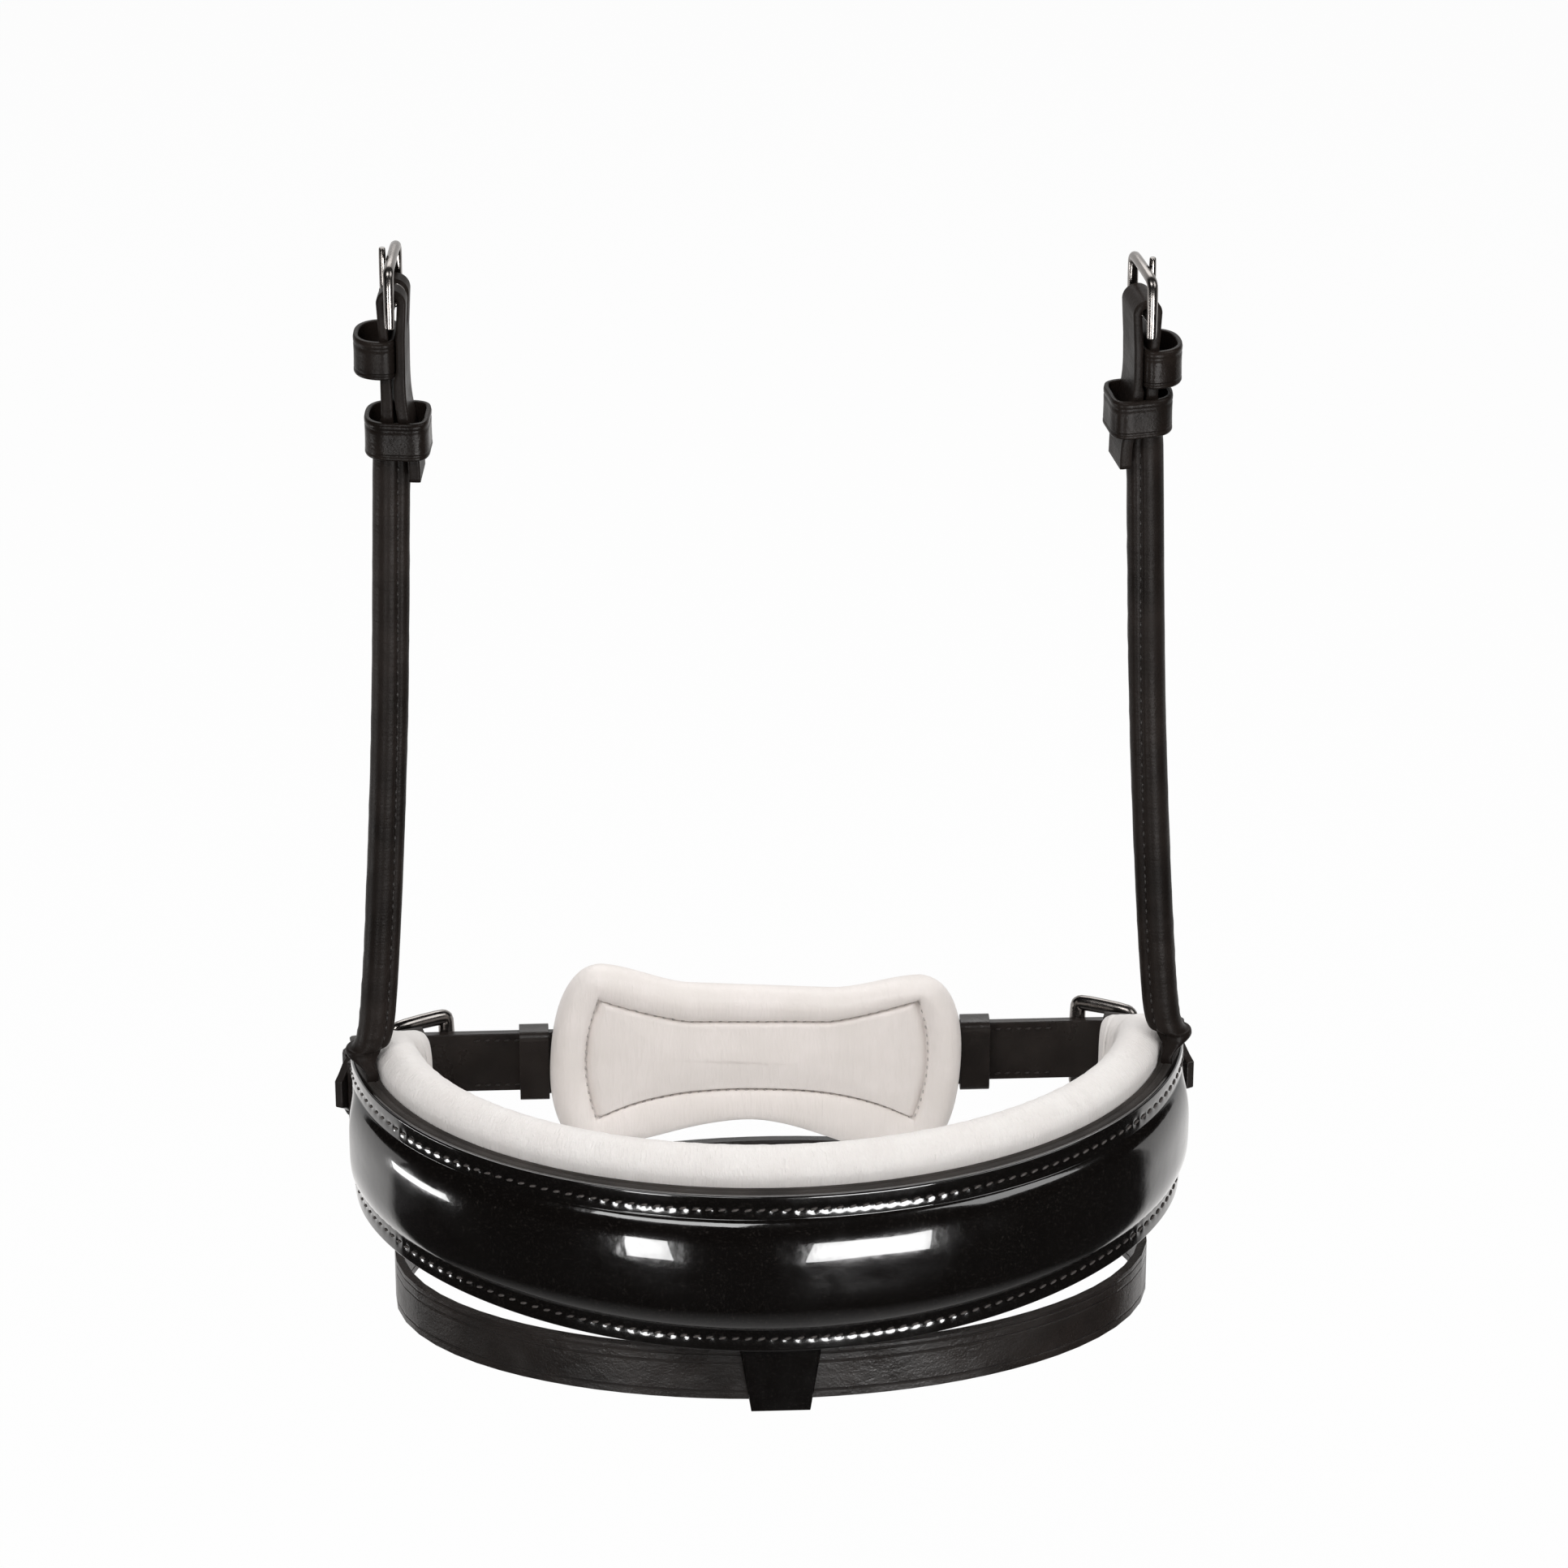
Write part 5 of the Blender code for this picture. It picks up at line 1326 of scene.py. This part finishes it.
@dataclass(frozen=True)
class Keeper:
    """A round leather keeper about an upright hole, made anew from a packed keeper's walls."""

    rounding: float = 0.35 * MM
    high_line: float = 2.2 * MM
    low_line: float = 1.5 * MM
    line_depth: float = 0.28 * MM
    line_width: float = 0.5 * MM
    line_near: float = 0.02 * MM
    bow: float = 0.14 * MM
    wear: float = 0.15 * MM
    far: float = 0.1
    spokes: int = 120
    smoothing: int = 5
    rim: Pair = (0.14, 0.86)
    wall_shares: tuple[float, ...] = (0.16, 0.28, 0.5, 0.66, 0.92)

    def walls(self, work: BMesh, middle: Vector) -> list[tuple[Vector, float, float]]:
        """Measure a packed keeper's walls along level spokes and even them out.

        Args:
            work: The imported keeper, which is freed.
            middle: Its middle.

        Returns:
            Each spoke's direction with its inner and outer distance.
        """
        tree = BVHTree.FromBMesh(work)
        work.free()
        found = []
        for share in shares(self.spokes)[:-1]:
            angle = TURN * share
            way = Vector((cos(angle), sin(angle), 0.0))
            found.append((way, (tree.ray_cast(middle, way)[0] - middle).length,
                          (tree.ray_cast(middle + way * self.far, -way)[0] - middle).length))
        even = []
        for step, (way, narrow, _) in enumerate(found):
            near = [found[(step + shift) % self.spokes]
                    for shift in range(-self.smoothing, self.smoothing + 1)]
            inner, outer = (sum(item[key] for item in near) / len(near) for key in (1, 2))
            even.append((way, max(inner, narrow - self.wear), outer))
        return even

    def build(self, frame: dict, node: str, name: str) -> Object:
        """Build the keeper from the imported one.

        Args:
            frame: The loaded frame.
            node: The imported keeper.
            name: The new piece's name.

        Returns:
            The new object.
        """
        work = bmesh.new()
        work.from_mesh(frame["nodes"][node].data)
        low, high = (Vector(corner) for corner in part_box(node))
        middle = (low + high) / 2.0
        spokes = self.walls(work, middle)
        foot, head = low.z, high.z
        lines = (foot + self.low_line, head - self.high_line)
        heights = [mix(foot, head, share) for share in self.wall_shares]
        heights += [line + shift * self.line_width for line in lines for shift in (-1.0, 0.0, 1.0)]
        inside, outside = self.rim
        profile = [(0.5, foot), (outside, foot), (1.0, foot + self.rounding)]
        profile += [(1.0, height) for height in sorted(heights)]
        profile += [(outside, head), (0.5, head), (inside, head), (0.0, head - self.rounding),
                    (0.0, (foot + head) / 2.0), (0.0, foot + self.rounding), (inside, foot), (0.5, foot)]
        rings = []
        for way, inner, outer in spokes + spokes[:1]:
            ring = []
            for share, height in profile:
                reach = mix(inner, outer, share)
                if share == 1.0:
                    reach -= self.bow * sin(pi * (height - foot) / (head - foot))
                    reach -= self.line_depth * sum(isclose(height, line, abs_tol=self.line_near)
                                                   for line in lines)
                ring.append(Vector((middle.x, middle.y, height)) + way * reach)
            rings.append(ring)
        return loft(name, rings)


@dataclass
class CheekStrap(Assembly):
    """One rolled cheek strap with its keepers and top buckle."""

    side: Side
    nose: Nosepiece
    width: float = 12.5 * MM
    thickness: float = 2.4 * MM
    line_y: float = 12.0 * MM
    foot_out: float = -3.0 * MM
    neck_out: float = -2.2 * MM
    pocket: float = 18.0 * MM
    mouth_rise: float = 2.0 * MM
    neck_rise: float = 8.0 * MM
    knots: tuple[Pair, ...] = (
        (110.0 * MM, 92.0 * MM), (104.6 * MM, 175.0 * MM), (101.5 * MM, 263.0 * MM))
    flat_z: float = 281.0 * MM
    tip_z: float = 259.0 * MM
    bar_x: float = 99.8 * MM
    bar_heights: Pair = (311.0 * MM, 304.0 * MM)
    turns: Pair = (radians(6.0), radians(10.0))
    ply_spread: float = 2.25 * MM
    ply_back: float = -6.6 * MM
    fold_radius: float = 2.8 * MM
    tail_rise: float = 2.0 * MM
    tail_share: float = 0.6
    tail_near: float = 0.3 * MM
    tail_lift: float = 3.0 * MM
    tail_far: float = 0.6 * MM
    tail_steps: int = 6
    keeper_drop: float = 10.3 * MM
    rise_steps: int = 26
    flatten_steps: int = 14
    fold_steps: int = 24
    roll_centre: float = 0.7 * MM
    roll_radius: float = 4.4 * MM
    roll_sweep: float = radians(121.0)
    roll_steps: int = 14
    roll_back: float = -5.1 * MM
    flange: tuple[Pair, ...] = (
        (-1.85, 3.3), (-2.1, 2.85), (-2.6, 2.95), (-3.3, 2.85), (-4.0, 2.45), (-4.65, 1.75), (-5.0, 0.9))
    flat_square: Pair = (3.4, 1.06)
    flat_crown: float = 0.035
    crease: float = 0.06 * MM
    crease_pitches: Triple = (3.1 * MM, 4.7 * MM, 8.3 * MM)
    crease_seed: float = 3.0
    crease_turn: float = 900.0
    closing: float = 0.8 * MM
    closing_from: float = 0.5 * MM
    closing_top: float = 4.0 * MM
    closing_fade: float = 2.0 * MM
    keeper_fade: float = 1.5 * MM
    stitch_in: float = 2.1 * MM
    stitch_out: float = 2.95 * MM
    stitch_pitch: float = 3.2 * MM
    stitch_size: Pair = (2.1 * MM, 0.7 * MM)
    stitch_lean: float = 0.5
    buckle_bevels: Pair = (0.5 * MM, 0.4 * MM)
    buckle_swells: Pair = (0.3 * MM, 0.1 * MM)
    rolled_enough: float = 0.98
    slot_size: Vector = field(default_factory=lambda: Vector((13.0, 3.2, 15.6)) * MM)
    slot_centre: Vector = field(default_factory=lambda: Vector((-1.3, 0.0, 0.0)) * MM)

    @property
    def bar(self) -> Vector:
        """Return the middle of the buckle's bar."""
        height = self.bar_heights[0 if self.side is Side.LEFT else 1]
        return Vector((self.side.sign * self.bar_x, self.line_y, height))

    @property
    def turn(self) -> float:
        """Return the angle by which the strap's top is turned."""
        return self.turns[0 if self.side is Side.LEFT else 1]

    def axes(self, turn: float) -> tuple[Vector, Vector]:
        """Turn the strap's level directions.

        Args:
            turn: The angle from the side's own direction.

        Returns:
            The outward and the across direction.
        """
        sign = self.side.sign
        return (Vector((sign * cos(turn), sin(turn), 0.0)),
                Vector((-sign * sin(turn), cos(turn), 0.0)))

    def rising(self) -> list[Rolled]:
        """Lay out the places of the rolled part.

        Returns:
            For each place its middle, the outward and across directions and how far the strap is rolled.
        """
        curve, at = self.nose.curve, self.nose.cheek
        top = curve.top(at)
        foot = curve.place(at, self.foot_out, top - self.pocket)
        neck = curve.place(at, self.neck_out, top + self.neck_rise)
        normal = curve.frame(at)[2]
        foot_turn = atan2(normal.y, normal.x)
        line = [Vector((foot.x, foot.y, top + self.mouth_rise)), neck]
        line += [Vector((x, self.line_y, z)) for x, z in self.knots]
        places = []
        for point in [foot] + through(line, self.rise_steps):
            share = smooth_step((point.z - foot.z) / (self.knots[-1][1] - foot.z))
            rolled = smooth_step((point.z - line[0].z) / (neck.z - line[0].z))
            places.append((Vector((self.side.sign * point.x, point.y, point.z)),
                           *self.axes(mix(foot_turn, self.turn, share)), rolled))
        return places

    def places(self) -> list[Rolled]:
        """Lay out the whole strap's places, from its foot up, round the bar and down to its tip.

        Returns:
            The places, as rising returns them.
        """
        made = self.rising()
        out, across = self.axes(self.turn)
        bar = self.bar
        spread = self.ply_spread
        top_x, top_z = self.knots[-1]
        lean = top_x - self.bar_x
        for share in shares(self.flatten_steps)[1:]:
            eased = smooth_step(share)
            point = Vector((bar.x, bar.y, mix(top_z, self.flat_z, share)))
            made.append((point + out * mix(lean, spread, eased), out, across, 1.0 - eased))
        neck = bar.z - self.keeper_drop
        made.append((Vector((bar.x, bar.y, neck)) + out * spread, out, across, 0.0))
        for share in shares(self.fold_steps):
            thick = out * cos(pi * share) + UP * sin(pi * share)
            made.append((bar + thick * self.fold_radius, thick, across, 0.0))
        inner = self.ply_back + lean
        down = [(-spread, neck), (-spread, self.flat_z + self.tail_rise),
                (mix(-spread, inner, self.tail_share), (self.flat_z + top_z) / 2.0),
                (inner - self.tail_near, top_z + self.tail_lift), (inner - self.tail_far, self.tip_z)]
        for point in through([Vector((offset, 0.0, height)) for offset, height in down], self.tail_steps):
            made.append((Vector((bar.x, bar.y, point.z)) + out * point.x, -out, across, 0.0))
        return made

    def sections(self) -> list[tuple[Pair, Pair]]:
        """Lay out the rolled and the flat section.

        Returns:
            Each point of the rolled section with the flat section's point.
        """
        half = [(self.roll_centre + self.roll_radius * cos(angle), self.roll_radius * sin(angle))
                for angle in (self.roll_sweep * share for share in shares(self.roll_steps))]
        half += [(p * MM, q * MM) for p, q in self.flange]
        rolled = half + [(self.roll_back, 0.0)] + [(p, -q) for p, q in reversed(half[1:])]
        flat = []
        for share in shares(len(rolled))[:-1]:
            angle = TURN * share
            p = max(-1.0, min(1.0, self.flat_square[0] * cos(angle)))
            q = max(-1.0, min(1.0, self.flat_square[1] * sin(angle))) * (1.0 - self.flat_crown * p ** 4)
            flat.append((p * self.thickness / 2.0, q * self.width / 2.0))
        return list(zip(rolled, flat))

    def ring(self, place: Rolled, keeper: Pair) -> list[Vector]:
        """Return the strap's section at one place.

        Args:
            place: The middle, the outward and across directions and how far the strap is rolled.
            keeper: The upper keeper's lowest and highest Z, between which the plies stay apart.

        Returns:
            The section's points.
        """
        middle, out, across, share = place
        crease = self.crease * waves(middle.z, self.crease_pitches, self.crease_seed + self.side.sign)
        beside = smooth_step(max(keeper[0] - middle.z, middle.z - keeper[1]) / self.keeper_fade)
        below = smooth_step((self.bar.z - self.closing_top - middle.z) / self.closing_fade)
        points = []
        for (rp, rq), (fp, fq) in self.sections():
            swell = 1.0 + share * crease / self.roll_radius * (1.0 + sin(rq * self.crease_turn))
            thick = fp - self.closing * beside * below if fp < -self.closing_from else fp
            points.append(middle + out * mix(thick, rp * swell, share)
                          + across * mix(fq, rq * swell, share))
        return points

    def build(self) -> None:
        """Build the strap, its stitches, its two keepers and its buckle."""
        name = self.side.value
        low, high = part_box("upper_keeper_" + name)
        rings = [self.ring(place, (low[2], high[2])) for place in self.places()]
        strap = loft("rolled_strap_" + name, rings)
        out, across = self.axes(self.turn)
        axes = Matrix((UP, across, out)).transposed().to_4x4()
        axes.translation = self.bar
        carve(strap, axes, self.slot_size, self.slot_centre)
        self.dress(strap, "rolled_leather", "nosepiece", "cheek_strap_" + name)
        self.build_stitches()
        for node, piece, body in (("upper_keeper_", "fixed_keeper_", "nosepiece"),
                                  ("lower_keeper_", "runner_keeper_", "runner_" + name)):
            keeper = Keeper().build(self.frame, node + name, piece + name)
            self.dress(keeper, "keeper_leather", body, node + name)
        self.buckle("top_", "_" + name, self.buckle_bevels, self.buckle_swells)

    def build_stitches(self) -> None:
        """Sew the roll shut with a row of stitches on its front and one on its back."""
        spots = []
        places = [place for place in self.rising() if place[3] > self.rolled_enough]
        for face in (-1.0, 1.0):
            travelled = 0.0
            for (start, out, across, _), (end, *_) in zip(places, places[1:]):
                way = end - start
                count = (int((travelled + way.length) / self.stitch_pitch)
                         - int(travelled / self.stitch_pitch))
                edge = across * face * self.stitch_out - out * self.stitch_in
                for index in range(count):
                    spots.append((start + way * ((index + 0.5) / count) + edge, way.normalized(),
                                  (across * face - out * self.stitch_lean).normalized()))
                travelled += way.length
        self.stitch("cheek_stitches_" + self.side.value, "black_thread", "nosepiece", spots,
                    self.stitch_size)


@dataclass
class ChinStrap(Assembly):
    """The chin strap with its chapes, keepers and two buckles."""

    middle_z: float = 49.0 * MM
    row_offset: float = 7.4 * MM
    row_end: float = 84.0 * MM
    pad_span: Pair = (-61.0 * MM, 56.0 * MM)
    front_y: float = 55.6 * MM
    stitch_pitch: float = 2.9 * MM
    stitch_size: Pair = (2.1 * MM, 0.7 * MM)
    stitch_slant: float = radians(12.0)
    bar_gain: float = 1.4 * MM
    bar_width: float = 3.6 * MM
    frame_corner: float = 4.0 * MM
    strap_clear: float = 7.5 * MM
    fade: float = 2.5 * MM
    band_bevel: float = 0.35 * MM
    fold_bevel: float = 0.55 * MM
    keeper_bevel: float = 0.45 * MM
    buckle_bevels: Pair = (0.0, 0.0)
    buckle_swells: Pair = (0.7 * MM, 0.08 * MM)

    def widen(self, ring: Object) -> None:
        """Widen the cast bars above and below the strap, towards the frame's opening.

        Args:
            ring: An upright buckle frame whose hinge bar is its end nearest the nosepiece.
        """
        spots = [vert.co.copy() for vert in ring.data.vertices]
        middle = sum(spots, Vector()) / len(spots)
        spots = [spot - middle for spot in spots]
        turn = 0.5 * atan2(2.0 * sum(spot.x * spot.y for spot in spots),
                                sum(spot.x ** 2 - spot.y ** 2 for spot in spots))
        back = Vector((cos(turn), sin(turn), 0.0))
        back *= copysign(1.0, back.y)
        reach, rise = [spot.dot(back) for spot in spots], [spot.z for spot in spots]
        half = Vector((max(reach) - min(reach), max(rise) - min(rise))) / 2.0
        centre = Vector((max(reach) + min(reach), max(rise) + min(rise))) / 2.0
        corner = Vector((self.frame_corner, self.frame_corner))
        for vert, along, up in zip(ring.data.vertices, reach, rise):
            place = Vector((along, up)) - centre
            past = Vector((abs(place.x), abs(place.y))) - half + corner
            if min(past) > 0.0:
                depth, way = self.frame_corner - past.length, past.normalized()
            else:
                depth = self.frame_corner - max(past)
                way = Vector((1.0, 0.0)) if past.x > past.y else Vector((0.0, 1.0))
            share = min(max(depth / self.bar_width, 0.0), 1.0)
            share *= smooth_step((abs(place.y) - self.strap_clear) / self.fade)
            share *= smooth_step((place.x + half.x - self.bar_width) / self.fade)
            move = way * self.bar_gain * share
            vert.co -= back * copysign(move.x, place.x) + UP * copysign(move.y, place.y)

    def build_stitches(self) -> None:
        """Sew two rows along the strap's front, seen on both sides of the pad."""
        spots = []
        count = int(2.0 * self.row_end / self.stitch_pitch)
        for index in range(count + 1):
            x = (index - count / 2.0) * self.stitch_pitch
            if not self.pad_span[0] < x < self.pad_span[1]:
                for height in (self.middle_z - self.row_offset, self.middle_z + self.row_offset):
                    spots.append((Vector((x, self.front_y, height)), Vector((1.0, 0.0, 0.0)), FRONT))
        self.stitch("chin_stitches", "black_thread", "nosepiece", spots, self.stitch_size,
                    self.stitch_slant)

    def build(self) -> None:
        """Build the strap and both its ends."""
        self.copy("chin_strap", "chin_band", "strap_leather", "nosepiece", self.band_bevel)
        self.build_stitches()
        for side in Side:
            name = side.value
            for node, piece, bevel in (("chape_", "fold_", self.fold_bevel),
                                       ("keeper_", "band_keeper_", self.keeper_bevel)):
                self.copy("chin_" + node + name, "chin_" + piece + name, "strap_leather", "nosepiece",
                          bevel)
            self.widen(self.buckle("chin_", "_" + name, self.buckle_bevels, self.buckle_swells))


@dataclass
class FlashStrap(Assembly):
    """The flash strap with its keeper and buckle."""

    band_bevel: float = 0.35 * MM
    keeper_bevel: float = 0.3 * MM
    buckle_bevels: Pair = (0.0, 0.0)
    buckle_swells: Pair = (0.1 * MM, 0.08 * MM)

    def build(self) -> None:
        """Build the strap and its hardware."""
        self.copy("flash_strap", "flash_band", "flash_leather", "flash", self.band_bevel)
        self.copy("flash_keeper", "flash_band_keeper", "strap_leather", "flash", self.keeper_bevel)
        self.buckle("flash_", "", self.buckle_bevels, self.buckle_swells)


# Light and camera


@dataclass(frozen=True)
class Softbox:
    """One square lamp that faces a point; a shine-only lamp is seen in reflections but lights nothing."""

    name: str
    place: Triple
    size: Pair
    power: float
    target: Triple = (0.0, 0.0, 0.1)
    shine_only: bool = False


@dataclass
class Studio:
    """The pale floor, the lamps, the world and the camera at the photograph's angle."""

    floor_z: float = -0.35
    floor_half: float = 6.0
    floor_colour: Triple = (0.86, 0.86, 0.86)
    floor_rough: float = 0.9
    floor_white: float = 0.93
    floor_behind: Pair = (0.19, 0.25)
    floor_shine: Pair = (0.02, 1.0)
    glow_reach: Pair = (0.38, 0.52)
    glow_power: Pair = (0.30, 0.0)
    glow_colour: Triple = (1.0, 0.985, 0.975)
    white: Triple = (1.0, 1.0, 1.0)
    room_behind: Pair = (0.49, 0.55)
    room_shine: Pair = (0.01, 1.0)
    room_light: float = 0.55
    target: Vector = field(default_factory=lambda: Vector((0.0035, 0.0, 0.1679)))
    elevation: float = radians(28.0)
    yaw: float = radians(2.6)
    distance: float = 1.87
    focal_pixels: float = 8400.0
    picture_pixels: float = 1932.0
    sensor: float = 36.0
    softboxes: tuple[Softbox, ...] = (
        Softbox("key", (-0.5, -1.1, 1.5), (0.9, 0.6), 14.0),
        Softbox("fill", (1.1, -0.6, 1.1), (0.8, 0.8), 8.0),
        Softbox("back", (0.0, 1.4, 1.5), (1.2, 0.8), 10.0),
        Softbox("front_left", (-0.435, -0.93, -0.19), (0.17, 0.44), 4.5, (-0.03, -0.06, 0.05), True),
        Softbox("front_right", (0.36, -0.96, -0.17), (0.46, 0.40), 11.0, (0.02, -0.06, 0.05), True),
        Softbox("side_left", (-0.96, -0.02, -0.24), (0.40, 0.09), 1.8, (-0.1, -0.02, 0.06), True),
    )

    def build(self) -> None:
        """Build everything round the noseband."""
        self.build_camera()
        self.build_floor()
        self.build_world()
        for softbox in self.softboxes:
            self.build_lamp(softbox)
        bpy.context.scene.view_settings.view_transform = "Standard"

    @staticmethod
    def hang(name: str, data: ID, place: Vector, facing: Vector) -> Object:
        """Link a camera or lamp.

        Args:
            name: The new object's name.
            data: The camera or lamp.
            place: Where it stands.
            facing: The direction in which it looks.

        Returns:
            The new object.
        """
        made = bpy.data.objects.new(name, data)
        made.location = place
        made.rotation_euler = facing.to_track_quat("-Z", "Y").to_euler()
        bpy.context.scene.collection.objects.link(made)
        return made

    @staticmethod
    def rays(graph: Graph) -> tuple[Socket, Socket]:
        """Tell the kinds of ray apart.

        Args:
            graph: The material's or the world's graph.

        Returns:
            Whether a ray is the camera's, and whether it is a reflection or goes through glass.
        """
        path = graph.add("ShaderNodeLightPath").outputs
        mirrored = graph.calc("MAXIMUM", path["Is Glossy Ray"], path["Is Transmission Ray"])
        return path["Is Camera Ray"], mirrored

    @staticmethod
    def blend(graph: Graph, share: Socket | float, first: Node, second: Node) -> Node:
        """Return a mix of two shaders by a share."""
        return graph.add("ShaderNodeMixShader", {0: share, 1: first.outputs[0], 2: second.outputs[0]})

    def build_camera(self) -> None:
        """Put the camera where the photograph was taken from."""
        forward = Vector((sin(self.yaw) * cos(self.elevation),
                          cos(self.yaw) * cos(self.elevation), -sin(self.elevation)))
        data = bpy.data.cameras.new("camera")
        data.sensor_width = self.sensor
        data.lens = self.focal_pixels / self.picture_pixels * self.sensor
        place = self.target - forward * self.distance
        bpy.context.scene.camera = self.hang("camera", data, place, forward)

    def build_floor(self) -> None:
        """Lay the pale floor; seen directly it is white but for the noseband's soft shadow, and in
        reflections it glows: white behind, and a faint pool under the noseband that is a painted
        reflection.
        """
        work = bmesh.new()
        bmesh.ops.create_grid(work, x_segments=2, y_segments=2, size=self.floor_half)
        bmesh.ops.translate(work, verts=work.verts, vec=UP * self.floor_z)
        floor = new_piece("floor", work, smooth=False)
        made = bpy.data.materials.new("pale_floor")
        made.use_nodes = True
        graph = Graph(made.node_tree)
        shader = made.node_tree.nodes["Principled BSDF"]
        graph.feed(shader, {"Base Color": (*self.floor_colour, 1.0), "Roughness": self.floor_rough})
        place = graph.add("ShaderNodeNewGeometry").outputs["Position"]
        behind = graph.span(graph.split(place, "Y"), self.floor_behind, self.floor_shine)
        away = graph.add("ShaderNodeVectorMath", {0: place}, operation="LENGTH").outputs["Value"]
        # Painted reflection: in reflections only, the floor round the spot under the noseband glows
        # faintly, though no lamp is there.
        shine = graph.calc("MAXIMUM", behind, graph.span(away, self.glow_reach, self.glow_power))
        camera, glossy = self.rays(graph)
        glow = graph.add("ShaderNodeEmission", {"Strength": shine, "Color": (*self.glow_colour, 1.0)})
        white = graph.add("ShaderNodeEmission", {"Strength": 1.0, "Color": (*self.white, 1.0)})
        direct = self.blend(graph, self.floor_white, shader, white)
        seen = self.blend(graph, camera, shader, direct)
        final = self.blend(graph, glossy, seen, glow)
        graph.feed(made.node_tree.nodes["Material Output"], {"Surface": final.outputs[0]})
        floor.data.materials.append(made)

    def build_world(self) -> None:
        """Surround the noseband with a white backdrop behind and a dim room in front."""
        world = bpy.data.worlds.new("studio")
        bpy.context.scene.world = world
        world.use_nodes = True
        graph = Graph(world.node_tree)
        way = graph.add("ShaderNodeTexCoord").outputs["Generated"]
        behind = graph.span(graph.split(way, "Y"), self.room_behind, self.room_shine)
        camera, glossy = self.rays(graph)
        light = self.room_light
        for share, value in ((glossy, behind), (camera, 1.0)):
            light = graph.add("ShaderNodeMix", {"Factor": share, 2: light, 3: value},
                              data_type="FLOAT").outputs[0]
        graph.feed(world.node_tree.nodes["Background"], {"Strength": light, "Color": (*self.white, 1.0)})

    def build_lamp(self, softbox: Softbox) -> None:
        """Hang one softbox so that it faces its target.

        Args:
            softbox: The softbox.
        """
        data = bpy.data.lights.new(softbox.name, "AREA")
        data.shape = "RECTANGLE"
        data.size, data.size_y = softbox.size
        data.energy = softbox.power
        place = Vector(softbox.place)
        lamp = self.hang(softbox.name, data, place, Vector(softbox.target) - place)
        lamp.visible_diffuse = not softbox.shine_only


def main() -> None:
    """Load the frame, dress it and light it."""
    logging.basicConfig(level=logging.INFO, format="%(name)s: %(message)s")
    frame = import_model()
    groups = Groups()
    materials = {finish.name: (finish.build(groups), finish.slot) for finish in FINISHES}
    nosepiece = Nosepiece(frame, materials)
    nosepiece.build()
    ChinPad(frame, materials).build()
    for side in Side:
        CheekStrap(frame, materials, side, nosepiece).build()
    ChinStrap(frame, materials).build()
    FlashStrap(frame, materials).build()
    Studio().build()


if __name__ == "__main__":
    main()
